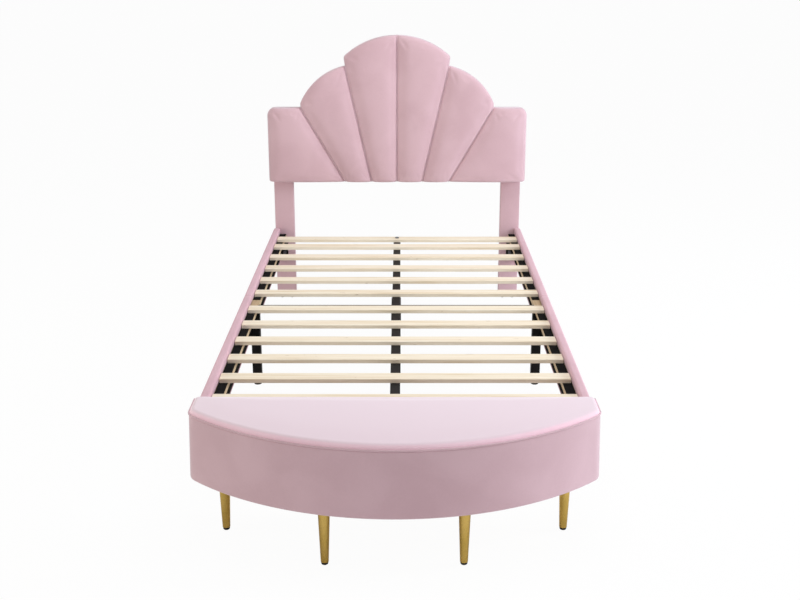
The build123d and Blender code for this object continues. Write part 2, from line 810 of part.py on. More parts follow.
# Bench cushion: a plug inside the cover, then an edge that rolls out over the seam and back in,
# and a crown that rises to the middle
def pad_sections():
    """Pairs of inset and rise above the seam, from the seam up to the top of the crown."""
    pairs = []
    for step in range(roll_steps + 1):
        turn = math.pi / 2 * step / roll_steps
        pairs.append(
            (seam_roll_radius * (1 - math.sin(turn)), seam_roll_radius * (1 - math.cos(turn)))
        )
    for step in range(1, roll_steps + 1):
        turn = math.pi / 2 * step / roll_steps
        pairs.append(
            (
                pad_roll_radius * (1 - math.cos(turn)),
                seam_roll_radius + pad_roll_radius * math.sin(turn),
            )
        )
    for step in range(1, crown_steps + 1):
        run = step / crown_steps
        pairs.append(
            (
                pad_roll_radius + pad_crown_run * run,
                seam_roll_radius + pad_roll_radius + pad_crown * (1 - (1 - run) ** 2),
            )
        )
    return pairs


bench_top_face = bench_top_underside + bench_top_thickness
with BuildPart() as bench_pad:
    with BuildSketch(Plane.XY.offset(bench_top_face)):
        add(bench_plan(bench_cover_thickness + fit_gap))
    extrude(amount=bench_seam_height - bench_top_face)
    pad_layers = []
    for inset, rise in pad_sections():
        with BuildSketch(Plane.XY.offset(bench_seam_height + rise), mode=Mode.PRIVATE) as layer:
            add(bench_plan(inset))
        pad_layers.append(layer.sketch)
    loft(pad_layers, ruled=True)
save(bench_pad.part, "bench_pad")

# Welt in the seam, round the front and the sides
welt_outline = bench_plan(-welt_stand_out, 0)
welt_edges = welt_outline.edges().sort_by(Axis.Y)[:-1]
welt_path = Wire([edge.moved(Location((0, 0, bench_seam_height))) for edge in welt_edges])
with BuildPart() as bench_welt:
    with BuildSketch(Plane(welt_path @ 0, z_dir=welt_path % 0)):
        Circle(welt_radius)
    sweep(path=welt_path)
save(bench_welt.part, "bench_welt")

# Four tapered legs with a fixing plate, and the domed feet that tip them
outer_leg_x = overall_width / 2 - outer_leg_inset
bench_leg_places = [
    (side * place, bench_front_y + setback)
    for side in (-1, 1)
    for place, setback in ((inner_leg_x, inner_leg_setback), (outer_leg_x, outer_leg_setback))
]
with BuildPart() as bench_legs:
    with BuildSketch(Plane.XY.offset(bench_foot_height)):
        with Locations(*bench_leg_places):
            Circle(bench_leg_end_radius)
    taper_height = bench_bottom - bench_leg_plate_thickness - bench_foot_height
    spread = math.degrees(
        math.atan((bench_leg_top_radius - bench_leg_end_radius) / taper_height)
    )
    extrude(amount=taper_height, taper=-spread)
    with BuildSketch(Plane.XY.offset(bench_bottom - bench_leg_plate_thickness)):
        with Locations(*bench_leg_places):
            Rectangle(bench_leg_plate, bench_leg_plate)
    extrude(amount=bench_leg_plate_thickness)
save(bench_legs.part, "bench_legs")

with BuildPart() as bench_leg_feet:
    with BuildSketch(Plane.XY):
        with Locations(*bench_leg_places):
            Circle(bench_foot_radius)
    extrude(amount=bench_foot_height)
    fillet(bench_leg_feet.faces().group_by(Axis.Z)[0].edges(), radius=bench_foot_height / 2)
save(bench_leg_feet.part, "bench_leg_feet")
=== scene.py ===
# %% [markdown]
# # A single bed, dressed
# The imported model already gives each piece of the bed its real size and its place. This lesson
# gives the pieces their finish: padded velvet on the headboard, rails and bench, sawn wood for
# the slats, powder-coated steel below them and gold plating on the bench's legs. Soft pieces are
# made again as fuller surfaces, and rigid pieces keep their mesh and only get a better material.

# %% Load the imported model
import json
import math

import bpy
import numpy as np
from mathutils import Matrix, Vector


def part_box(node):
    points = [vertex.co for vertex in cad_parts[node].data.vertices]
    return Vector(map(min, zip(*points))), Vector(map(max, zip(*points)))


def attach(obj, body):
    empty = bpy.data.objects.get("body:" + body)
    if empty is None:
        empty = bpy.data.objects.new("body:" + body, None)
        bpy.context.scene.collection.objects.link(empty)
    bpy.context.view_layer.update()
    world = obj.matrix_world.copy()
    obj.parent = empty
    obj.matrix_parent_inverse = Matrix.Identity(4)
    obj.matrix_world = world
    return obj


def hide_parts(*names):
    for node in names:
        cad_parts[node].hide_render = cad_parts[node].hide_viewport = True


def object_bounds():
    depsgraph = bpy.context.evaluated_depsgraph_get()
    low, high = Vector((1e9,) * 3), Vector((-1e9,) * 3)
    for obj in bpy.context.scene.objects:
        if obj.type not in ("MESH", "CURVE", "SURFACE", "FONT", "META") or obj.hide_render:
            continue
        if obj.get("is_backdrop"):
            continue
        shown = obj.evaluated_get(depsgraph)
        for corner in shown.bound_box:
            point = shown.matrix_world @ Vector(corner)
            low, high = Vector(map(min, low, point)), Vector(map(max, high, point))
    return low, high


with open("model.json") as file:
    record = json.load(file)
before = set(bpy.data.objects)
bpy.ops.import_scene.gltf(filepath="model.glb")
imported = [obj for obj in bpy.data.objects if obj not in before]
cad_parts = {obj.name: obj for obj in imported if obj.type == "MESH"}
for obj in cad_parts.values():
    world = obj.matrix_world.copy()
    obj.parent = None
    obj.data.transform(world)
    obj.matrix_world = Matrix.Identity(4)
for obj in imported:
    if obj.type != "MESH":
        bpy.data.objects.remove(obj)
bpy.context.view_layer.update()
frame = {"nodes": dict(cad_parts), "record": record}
scene = bpy.context.scene
MM = 0.001

# %% [markdown]
# ## The camera
# The bed is seen from its foot, from a little above standing height. The camera's place and its
# tilt were worked out from the point where the two rails would meet and from where the feet stand.
# A long-ish lens keeps the headboard from shrinking too much. The horizon lies above the picture.

# %% Camera
CAMERA_PLACE = (0.016, -3.6915, 1.480)
CAMERA_TILT = math.radians(72.863)
CAMERA_TURN = math.radians(0.044)
LENS_MM = 52.335
SENSOR_MM = 36.0

camera_data = bpy.data.cameras.new("camera")
camera_data.lens = LENS_MM
camera_data.sensor_width = SENSOR_MM
camera = bpy.data.objects.new("camera", camera_data)
camera.location = CAMERA_PLACE
camera.rotation_euler = (CAMERA_TILT, 0, CAMERA_TURN)
scene.collection.objects.link(camera)
scene.camera = camera
scene.view_settings.view_transform = "Standard"
print("camera at", CAMERA_PLACE, "with a lens of", LENS_MM, "mm")

# %% [markdown]
# ## Colours and nodes
# A colour picked from a picture is stored in sRGB, which is bent so that dark tones get more
# numbers. A shader wants linear light, so every hex colour goes through one function that
# straightens it. Other small functions add a node, set it and link it, so that a material reads
# as a short list of steps. Patterns are noise on the object's own coordinates, in metres. Noise
# changes about once per unit, so its scale is one over the real size.


# %% Helpers for materials
def colour(hex_code):
    """sRGB hex to linear: below 0.04045 divide by 12.92, above it ((c + 0.055) / 1.055) ^ 2.4."""
    parts = [int(hex_code[place:place + 2], 16) / 255 for place in (1, 3, 5)]
    linear = [c / 12.92 if c <= 0.04045 else ((c + 0.055) / 1.055) ** 2.4 for c in parts]
    return (*linear, 1.0)


def new_material(name):
    """An empty node material and its tree."""
    material = bpy.data.materials.new(name)
    material.use_nodes = True
    material.node_tree.nodes.clear()
    return material, material.node_tree


def add_node(tree, kind, out=0, settings=None, values=None, links=None):
    """Add a node and give back one of its outputs.

    Settings are the node's own choices, values go on its sockets, and links come from outputs of
    other nodes.
    """
    node = tree.nodes.new(kind)
    for name, value in (settings or {}).items():
        setattr(node, name, value)
    for name, value in (values or {}).items():
        node.inputs[name].default_value = value
    for name, socket in (links or {}).items():
        tree.links.new(socket, node.inputs[name])
    return node.outputs[out] if len(node.outputs) else None


def ramp(tree, factor, *stops, interpolation="LINEAR"):
    """A colour ramp with stops of (place, colour), read from a factor."""
    output = add_node(tree, "ShaderNodeValToRGB", links={"Fac": factor})
    bands = output.node.color_ramp
    bands.interpolation = interpolation
    while len(bands.elements) < len(stops):
        bands.elements.new(0.5)
    for element, (place, tone) in zip(bands.elements, stops):
        element.position = place
        element.color = tone
    return output


def object_space(tree, stretch=(1, 1, 1)):
    """Object coordinates in metres times a factor per axis, which makes a pattern long or short."""
    place = add_node(tree, "ShaderNodeTexCoord", "Object")
    return add_node(tree, "ShaderNodeMapping", values={"Scale": stretch}, links={"Vector": place})


def noise(tree, place, size_mm, detail=2.0, roughness=0.5, distortion=0.0):
    """Noise whose features are about size_mm across."""
    return add_node(
        tree, "ShaderNodeTexNoise", "Fac", links={"Vector": place},
        values={
            "Scale": 1 / (size_mm * MM), "Detail": detail, "Roughness": roughness,
            "Distortion": distortion,
        },
    )


def bump(tree, height, depth_mm, strength):
    """A bump of a real depth from a pattern's height."""
    return add_node(
        tree, "ShaderNodeBump", links={"Height": height},
        values={"Distance": depth_mm * MM, "Strength": strength},
    )


def times_plus(tree, first, factor, second):
    """The first value times a factor, plus the second."""
    return add_node(
        tree, "ShaderNodeMath", settings={"operation": "MULTIPLY_ADD"},
        values={1: factor}, links={0: first, 2: second},
    )


def map_range(tree, value, **ends):
    """A value carried from one range to another, whose ends are named as on the node."""
    values = {name.replace("_", " ").title(): end for name, end in ends.items()}
    return add_node(tree, "ShaderNodeMapRange", values=values, links={"Value": value})


def mixed_tone(tree, share, tone, over):
    """A tone with another laid over it by a share. Sockets 0, 6 and 7 are the colour ones."""
    return add_node(
        tree, "ShaderNodeMix", 2, settings={"data_type": "RGBA"},
        values={7: colour(over)}, links={0: share, 6: tone},
    )


def finish_material(tree, values, links):
    """The surface shader with its fixed values on its own sockets, joined to the output."""
    shader = add_node(tree, "ShaderNodeBsdfPrincipled", values=values, links=links)
    add_node(tree, "ShaderNodeOutputMaterial", links={"Surface": shader})


def seen_or_mirrored(tree):
    """1 for a ray that the camera sees, or that metal mirrors or glass lets through, else 0."""
    camera_ray = add_node(tree, "ShaderNodeLightPath", "Is Camera Ray")
    rays = camera_ray.node.outputs
    through = add_node(
        tree, "ShaderNodeMath", settings={"operation": "MAXIMUM"},
        links={0: rays["Is Glossy Ray"], 1: rays["Is Transmission Ray"]},
    )
    return add_node(
        tree, "ShaderNodeMath", settings={"operation": "MAXIMUM"},
        links={0: camera_ray, 1: through},
    )


print("helpers ready")

# %% [markdown]
# ## Floor and light
# The floor is a pale, matt studio floor under a white surround. A floor that is only lit would
# show the lamps as pools of light, so nearly all that the camera sees of it is a plain white glow,
# and a small share of the lit floor keeps a trace of the bed's shadow. The gold legs mirror the
# lit floor, shadow and all, which gives them their darker side.
#
# Four soft lamps light the bed. One hangs over it. A strong one stands at the right, behind the
# bench's front, and grazes the headboard, so that each channel is pale on one side and shaded on
# the other. A weaker one at the left fills those shades, and a small one stands low in front, for
# the bench's wall. The world is plain white to the camera, in mirrors and through glass, so that
# the gold legs stand in a white room, but it lights the bed only gently.

# %% Floor
FLOOR_HALF = 60.0
FLOOR_TONE = "#F4F4F4"
FLOOR_GLOW = 0.96

floor_mesh = bpy.data.meshes.new("floor")
corners = [(x * FLOOR_HALF, y * FLOOR_HALF, 0) for x, y in ((-1, -1), (1, -1), (1, 1), (-1, 1))]
floor_mesh.from_pydata(corners, [], [(0, 1, 2, 3)])
floor = bpy.data.objects.new("floor", floor_mesh)
scene.collection.objects.link(floor)
floor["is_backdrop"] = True

floor_material, tree = new_material("pale studio floor")
matt = add_node(tree, "ShaderNodeBsdfDiffuse", values={"Color": colour(FLOOR_TONE)})
glow = add_node(tree, "ShaderNodeEmission", values={"Color": (1, 1, 1, 1), "Strength": 1.0})
seen = add_node(tree, "ShaderNodeLightPath", "Is Camera Ray")
share = map_range(tree, seen, to_max=FLOOR_GLOW)
mixed = add_node(tree, "ShaderNodeMixShader", links={0: share, 1: matt, 2: glow})
add_node(tree, "ShaderNodeOutputMaterial", links={"Surface": mixed})
floor_mesh.materials.append(floor_material)
print("floor", 2 * FLOOR_HALF, "m wide, of which the camera sees", FLOOR_GLOW, "as glow")

# %% World and lamps
WORLD_LIGHT = 0.42
# Each lamp's place, the point that it is aimed at, its size in metres, its watts and its tint
LAMPS = {
    "lamp over the bed": ((0.3, 0.0, 3.0), (0.0, 0.2, 0.3), 2.2, 36.0, "#FFFFFF"),
    "lamp at the right": ((4.0, -0.3, 1.6), (0.0, 0.6, 0.6), 1.4, 118.0, "#F0F7FF"),
    "lamp at the left": ((-3.6, -1.3, 1.0), (0.0, -0.3, 0.4), 1.6, 40.0, "#FFFAEA"),
    "low lamp in front": ((2.2, -3.1, 0.4), (0.0, -1.1, 0.3), 1.0, 16.5, "#FFFFFF"),
}

world = bpy.data.worlds.new("white surround")
world.use_nodes = True
scene.world = world
tree = world.node_tree
tree.nodes.clear()
level = map_range(tree, seen_or_mirrored(tree), to_min=WORLD_LIGHT)
sky = add_node(
    tree, "ShaderNodeBackground", values={"Color": (1, 1, 1, 1)}, links={"Strength": level}
)
add_node(tree, "ShaderNodeOutputWorld", links={"Surface": sky})

for name, (place, aim, size, power, tint) in LAMPS.items():
    lamp_data = bpy.data.lights.new(name, "AREA")
    lamp_data.shape = "SQUARE"
    lamp_data.size = size
    lamp_data.energy = power
    lamp_data.color = colour(tint)[:3]
    lamp = bpy.data.objects.new(name, lamp_data)
    lamp.location = place
    lamp.rotation_euler = (lamp.location - Vector(aim)).to_track_quat("Z", "Y").to_euler()
    scene.collection.objects.link(lamp)
print("lamps:", ", ".join(LAMPS))

# %% [markdown]
# ## Velvet
# The bed is covered in polyester velvet: a woven ground with a short, dense, sheared pile. Light
# that strikes the pile's tips from the side scatters forward, so velvet is darkest where it faces
# the eye and pale at its edges. The sheen of the surface shader does that. A hand that strokes
# the pile leaves it lying another way, which shows as broad soft clouds a little lighter or
# darker, and the pile itself is a fine nap. Real pile is about 0.1 mm across, too fine to show,
# so the nap is drawn at 1.2 mm.
#
# The same cloth is drawn in more than one tone. On the seat it is a paler copy, painted lighter for
# the light and sheen that fall on the cushion, and a paler, greyer tone comes in with how far a
# face looks up, a painted sheen, while the seat's edge stays pink.
# Along the rails its pile lies with the board and it has little sheen. Piping is a narrow strip
# pulled round a cord, and its velvet is painted paler, a painted highlight along each seam.

# %% Velvet material
PILE_CLOUD_MM = 160.0
PILE_FLECK_MM = 5.0
PILE_NAP_MM = 1.2
PILE_DEPTH_MM = 0.25
# How far a face must look up to start to take the painted sheen tone, and to take it fully
PAINTED_SHEEN_FROM = 0.6
PAINTED_SHEEN_TO = 0.97
FLECK_SHARE = 0.25


def make_velvet(name, deep, light, sheen, laid=None):
    """Cut-pile polyester velvet: broad clouds of laid pile, small flecks and a fine nap.

    With a laid tone, every face that looks up takes that tone by how far it looks up: a painted
    sheen and painted overhead light.
    """
    material, tree = new_material(name)
    place = object_space(tree)
    clouds = noise(tree, place, PILE_CLOUD_MM, detail=3.0, roughness=0.45, distortion=0.6)
    flecks = noise(tree, place, PILE_FLECK_MM, detail=3.0, roughness=0.6)
    nap = noise(tree, place, PILE_NAP_MM, detail=1.0)
    tone = ramp(
        tree, times_plus(tree, flecks, FLECK_SHARE, clouds),
        (0.42, colour(deep)), (0.82, colour(light)), interpolation="EASE",
    )
    # Painted sheen: a paler, greyer tone mixed in by how far a face looks up
    if laid is not None:
        facing = add_node(tree, "ShaderNodeTexCoord", "Normal")
        upward = add_node(tree, "ShaderNodeSeparateXYZ", "Z", links={"Vector": facing})
        share = map_range(tree, upward, from_min=PAINTED_SHEEN_FROM, from_max=PAINTED_SHEEN_TO)
        share.node.interpolation_type = "SMOOTHSTEP"
        tone = mixed_tone(tree, share, tone, laid)
    finish_material(
        tree,
        {
            "Roughness": 0.82,
            "Specular IOR Level": 0.12,
            "Sheen Weight": sheen,
            "Sheen Roughness": 0.5,
            "Sheen Tint": colour("#FAF4FA"),
        },
        {"Base Color": tone, "Normal": bump(tree, nap, PILE_DEPTH_MM, 0.5)},
    )
    return material


velvet = make_velvet("pink polyester velvet", "#C9A7AF", "#D1B0B8", 0.8)
# The seat's velvet is painted paler than the wall's, for the light and sheen that fall on the
# cushion
seat_velvet_painted_light = make_velvet(
    "pink polyester velvet, painted paler on top", "#F2CBD8", "#F6D2DE", 0.9, laid="#E5CFD8"
)
rail_velvet = make_velvet("pink polyester velvet, pile laid along", "#D0A9B3", "#D8B2BC", 0.25)
# The cord's velvet is painted paler than the pads', a painted highlight in each seam
velvet_cord = make_velvet("velvet-covered cord", "#DDBFC8", "#E6CBD3", 0.8)
print("made", velvet.name, "|", seat_velvet_painted_light.name, "|", rail_velvet.name, "|", velvet_cord.name)

# %% [markdown]
# ## Wood
# The slats are planed laminated softwood boards, left without varnish: pale straw with long, fine
# grain that runs along each board, faint darker bands, and here and there a brown check or a small
# knot. The grain is noise that is stretched along the board, so one function serves slats, whose
# grain runs across the bed, and battens, whose grain runs along it. Real grain lines are about
# 1 mm apart, and are drawn at 2.2 mm, so that they show from across a room.

# %% Wood materials
GRAIN_WIDTH_MM = 2.2
BAND_WIDTH_MM = 14.0
CHECK_WIDTH_MM = 5.0
GRAIN_LENGTH_SHARE = 0.02
BAND_LENGTH_SHARE = 0.035
CHECK_LENGTH_SHARE = 0.11
GRAIN_CONTRAST = 0.4
GRAIN_DEPTH_MM = 0.15


def make_wood(name, along, pale, straw, shade, check):
    """Unvarnished softwood with its grain along axis 0 or 1: bands, fine grain and brown checks."""
    material, tree = new_material(name)

    def stretched(share):
        """Object coordinates that run slower along the board, by a share."""
        return object_space(tree, [share if axis == along else 1.0 for axis in range(3)])

    bands = noise(tree, stretched(BAND_LENGTH_SHARE), BAND_WIDTH_MM, distortion=0.4)
    grain = noise(tree, stretched(GRAIN_LENGTH_SHARE), GRAIN_WIDTH_MM, detail=3.0, roughness=0.6)
    checks = noise(tree, stretched(CHECK_LENGTH_SHARE), CHECK_WIDTH_MM, distortion=0.5)
    body = ramp(
        tree, bands, (0.3, colour(shade)), (0.48, colour(straw)), (0.68, colour(pale)),
        interpolation="EASE",
    )
    lines = ramp(tree, grain, (0.38, (0.80, 0.76, 0.70, 1)), (0.55, (1, 1, 1, 1)))
    grained = add_node(
        tree, "ShaderNodeMix", 2, settings={"data_type": "RGBA", "blend_type": "MULTIPLY"},
        values={0: GRAIN_CONTRAST}, links={6: body, 7: lines},
    )
    spots = ramp(tree, checks, (0.735, (0, 0, 0, 1)), (0.775, (1, 1, 1, 1)))
    tone = mixed_tone(tree, spots, grained, check)
    finish_material(
        tree,
        {"Roughness": 0.62, "IOR": 1.5, "Specular IOR Level": 0.35},
        {"Base Color": tone, "Normal": bump(tree, grain, GRAIN_DEPTH_MM, 0.35)},
    )
    return material


slat_wood = make_wood("planed softwood slats", 0, "#F8EEDB", "#F4E7D1", "#E7D5B8", "#8E6A4A")
batten_wood = make_wood("sawn softwood battens", 1, "#CDB796", "#C2AA88", "#AB9270", "#7F6246")
plywood = make_wood("poplar plywood", 0, "#D8BF98", "#CBB087", "#B7986C", "#8A6A45")
print("made", slat_wood.name, "|", batten_wood.name, "|", plywood.name)

# %% [markdown]
# ## Steel, plating, plastic and cloth
# Beam, legs and brackets are steel tube and plate with a black powder coat, which is baked paint
# with a very fine orange peel. The bench's legs are steel tube plated in gold colour and lightly
# brushed, so their highlight runs down the leg as a soft stripe. Feet are moulded plastic, bolts
# are dark zinc-plated steel, the lining is black non-woven cloth, and the tape that holds the
# slats has rows of tiny loops. Peel, brush lines, moulded grain and fleece are finer than the
# picture can show, so each is drawn at one or two millimetres. Cloth and tape hardly shine.

# %% Metal, plastic and cloth materials
ORANGE_PEEL_MM = 1.6
ORANGE_PEEL_DEPTH_MM = 0.08
WEAR_MM = 30.0
BRUSH_LINE_MM = 0.9
BRUSH_LENGTH_SHARE = 0.02
BRUSH_DEPTH_MM = 0.05
PLATING_CLOUD_MM = 40.0
MOULD_GRAIN_MM = 1.0
ZINC_GRAIN_MM = 1.5
FLEECE_MM = 1.8
LOOP_MM = 1.6
BROAD_GRAIN_FACTOR = 20
FINE_SHARE = 0.4


def make_powder_coat():
    """Black polyester powder coat on steel: satin, with a fine orange peel."""
    material, tree = new_material("black powder coat on steel")
    place = object_space(tree)
    peel = noise(tree, place, ORANGE_PEEL_MM, detail=1.0)
    wear = noise(tree, place, WEAR_MM, detail=3.0)
    finish_material(
        tree,
        {"IOR": 1.5, "Specular IOR Level": 0.1},
        {
            "Base Color": ramp(tree, wear, (0.35, colour("#0F0E0E")), (0.7, colour("#191818"))),
            "Roughness": map_range(tree, wear, to_min=0.45, to_max=0.60),
            "Normal": bump(tree, peel, ORANGE_PEEL_DEPTH_MM, 0.4),
        },
    )
    return material


def make_gold():
    """Brushed gold-coloured plating on steel: a metal with fine lines along the leg."""
    material, tree = new_material("brushed gold plating")
    brushed = noise(tree, object_space(tree, (1, 1, BRUSH_LENGTH_SHARE)), BRUSH_LINE_MM)
    clouds = noise(tree, object_space(tree), PLATING_CLOUD_MM)
    finish_material(
        tree,
        {"Metallic": 1.0},
        {
            "Base Color": ramp(tree, clouds, (0.3, colour("#C6A655")), (0.7, colour("#D0B062"))),
            "Roughness": map_range(tree, brushed, to_min=0.20, to_max=0.32),
            "Normal": bump(tree, brushed, BRUSH_DEPTH_MM, 0.3),
        },
    )
    return material


def make_fine_solid(name, dark, light, grain_mm, roughness, depth_mm, metallic=0.0, shine=0.2):
    """A solid finish with a fine grain: moulded plastic, zinc plating or black cloth."""
    material, tree = new_material(name)
    place = object_space(tree)
    fine = noise(tree, place, grain_mm)
    broad = noise(tree, place, grain_mm * BROAD_GRAIN_FACTOR)
    tone = ramp(
        tree, times_plus(tree, fine, FINE_SHARE, broad), (0.45, colour(dark)), (0.95, colour(light))
    )
    finish_material(
        tree,
        {"Roughness": roughness, "Metallic": metallic, "Specular IOR Level": shine},
        {"Base Color": tone, "Normal": bump(tree, fine, depth_mm, 0.5)},
    )
    return material


powder_coat = make_powder_coat()
gold = make_gold()
black_plastic = make_fine_solid(
    "moulded black plastic", "#151515", "#242424", MOULD_GRAIN_MM, roughness=0.45, depth_mm=0.06
)
dark_zinc = make_fine_solid(
    "dark zinc plating", "#4A4A4E", "#6A6A70", ZINC_GRAIN_MM,
    roughness=0.35, depth_mm=0.03, metallic=1.0,
)
lining_cloth = make_fine_solid(
    "black non-woven lining", "#101010", "#1C1B1B", FLEECE_MM,
    roughness=0.95, depth_mm=0.25, shine=0.04,
)
hook_tape = make_fine_solid(
    "black hook tape", "#111111", "#222121", LOOP_MM, roughness=0.95, depth_mm=0.5, shine=0.04
)
made = (powder_coat, gold, black_plastic, dark_zinc, lining_cloth, hook_tape)
print("made", " | ".join(material.name for material in made))

# %% [markdown]
# ## Rigid pieces keep their mesh
# Slats, battens, beam, legs, brackets, bolts and feet already have their true shape. Each only
# takes the material of the slot that the record names for it. The grain of the battens runs along
# the bed, so they take the second wood.

# %% Give the rigid pieces their materials
SLOT_MATERIALS = {
    "velvet": velvet,
    "velvet_cord": velvet_cord,
    "lining_cloth": lining_cloth,
    "hook_tape": hook_tape,
    "pale_wood": slat_wood,
    "plywood": plywood,
    "gold_metal": gold,
    "black_plastic": black_plastic,
    "bolt_steel": dark_zinc,
    "black_steel": powder_coat,
}

node_slots = {part["node"]: part["material_slot"] for part in frame["record"]["subparts"]}


def dress(node, material):
    """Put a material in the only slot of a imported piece."""
    if node.material_slots:
        node.material_slots[0].material = material
    else:
        node.data.materials.append(material)


for name, node in frame["nodes"].items():
    dress(node, SLOT_MATERIALS[node_slots[name]])
dress(frame["nodes"]["slat_battens"], batten_wood)
print("dressed", len(frame["nodes"]), "packed pieces")

# %% [markdown]
# ## From arrays to a mesh
# Every soft piece below is a surface of two parameters: a grid of points worked out with numpy,
# where one parameter runs along the rows and the other along the columns. A grid becomes quads by
# joining each point with its neighbours. A grid that wraps in one direction is a tube, and in both
# it is a ring. Where a piece is closed by a front, a rim and a back, the three share their points.


# %% Helpers for surfaces
def grid_quads(numbers):
    """Quads of a grid of point numbers: each joins a point, its right, its diagonal, its upper."""
    return np.stack(
        [numbers[:-1, :-1], numbers[:-1, 1:], numbers[1:, 1:], numbers[1:, :-1]], axis=-1
    ).reshape(-1, 4)


def wrapped(numbers, axis):
    """A grid of point numbers whose first row or column is repeated at its end, to close it."""
    first = numbers.take([0], axis=axis)
    return np.concatenate([numbers, first], axis=axis)


def build_piece(name, points, faces, material):
    """A mesh object at the origin that rides on the bed and takes its finish from a slot."""
    mesh = bpy.data.meshes.new(name)
    mesh.from_pydata(points.reshape(-1, 3).tolist(), [], [tuple(face) for face in faces])
    mesh.polygons.foreach_set("use_smooth", np.full(len(mesh.polygons), True))
    mesh.materials.append(material)
    mesh.update()
    piece = bpy.data.objects.new(name, mesh)
    scene.collection.objects.link(piece)
    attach(piece, "bed_frame")
    return piece


def tube_faces(rows, columns, first=0):
    """Quads round a tube whose points are numbered ring by ring, and a flat face at each end."""
    numbers = first + np.arange(rows * columns).reshape(rows, columns)
    sides = grid_quads(wrapped(numbers, 1)).tolist()
    return sides + [numbers[0, ::-1].tolist(), numbers[-1].tolist()]


def capped_tube(name, rings, material):
    """A piece from rings of points, each joined to the next, closed at both ends."""
    return build_piece(name, rings, tube_faces(*rings.shape[:2]), material)


def closed_form(front, back, steps):
    """Points and quads of two equal grids whose rims are joined by straight bands of steps.

    The front grid's points come first, so that they can be found again.
    """
    numbers = np.arange(front.shape[0] * front.shape[1]).reshape(front.shape[:2])
    rim = np.concatenate(
        [numbers[0, :-1], numbers[:-1, -1], numbers[-1, :0:-1], numbers[:0:-1, 0]]
    )
    front_flat = front.reshape(-1, 3)
    back_flat = back.reshape(-1, 3)
    shares = np.linspace(0, 1, steps + 2)[1:-1, None, None]
    bands = front_flat[rim] * (1 - shares) + back_flat[rim] * shares
    points = np.concatenate([front_flat, bands.reshape(-1, 3), back_flat])
    band_numbers = len(front_flat) + np.arange(steps * len(rim)).reshape(steps, -1)
    back_numbers = numbers + len(front_flat) + band_numbers.size
    rings = np.concatenate([rim[None], band_numbers, back_numbers.ravel()[rim][None]])
    behind = np.concatenate([grid_quads(back_numbers), grid_quads(wrapped(rings, 1))])
    return points, np.concatenate([grid_quads(numbers), behind[:, ::-1]])


def make_finer(piece):
    """One subdivision, which halves the grid's spacing and rounds what is left of its corners."""
    smoother = piece.modifiers.new("finer", "SUBSURF")
    smoother.levels = smoother.render_levels = 1


def dense_ends(count, ease=0.9):
    """Shares from 0 to 1, closer at both ends: u - ease * sin(2 pi u) / 2 pi."""
    u = np.linspace(0, 1, count)
    return u - ease * np.sin(2 * np.pi * u) / (2 * np.pi)


def along(points, shares):
    """Points at shares of a polyline's length, found by linear interpolation over its length."""
    steps = np.linalg.norm(np.diff(points, axis=0), axis=1)
    length = np.concatenate([[0], np.cumsum(steps)])
    places = shares * length[-1]
    return np.stack([np.interp(places, length, column) for column in points.T], axis=-1)


def arc(centre, radius, start, end, count):
    """Points on a circle in a plane: centre + radius * (cos, sin) from a start to an end angle."""
    turn = np.linspace(start, end, count)
    return np.stack(
        [centre[0] + radius * np.cos(turn), centre[1] + radius * np.sin(turn)], axis=-1
    )


def distance_to(points, line):
    """Distance from each point to a polyline: the least over its segments, each clamped."""
    start = line[:-1]
    run = np.diff(line, axis=0)
    offset = points[..., None, :] - start
    share = (offset * run).sum(-1) / np.maximum((run * run).sum(-1), 1e-12)
    nearest = offset - np.clip(share, 0, 1)[..., None] * run
    return np.linalg.norm(nearest, axis=-1).min(-1)


def roll(distance, run, depth):
    """Drop of a rolled edge: a quarter ellipse, depth * (1 - sqrt(1 - (1 - d / run)^2))."""
    inside = np.clip(1 - distance / run, 0, 1)
    return depth * (1 - np.sqrt(1 - inside**2))


print("surface helpers ready")

# %% [markdown]
# ## Blowing up a padded piece
# Foam under tight fabric bulges between its seams and pulls flat at them. Cloth simulation gives
# that for nothing: the surface is pinned along its seams and behind, a little air pressure pushes
# it out, and the cloth's stretch decides where it goes. How far a point may move is capped softly,
# as the foam under it would. The simulation runs on the grid itself, whose points are about 5 mm
# apart, so that no seam is lost.

# %% Cloth simulation for padded pieces
CLOTH_FRAMES = 20
CLOTH_PRESSURE = 4.0
CLOTH_QUALITY = 5
PINNED_BELOW = 0.05


def smooth_step(share):
    """0 below 0 and 1 above 1, with 3 u^2 - 2 u^3 between."""
    u = np.clip(share, 0, 1)
    return u * u * (3 - 2 * u)


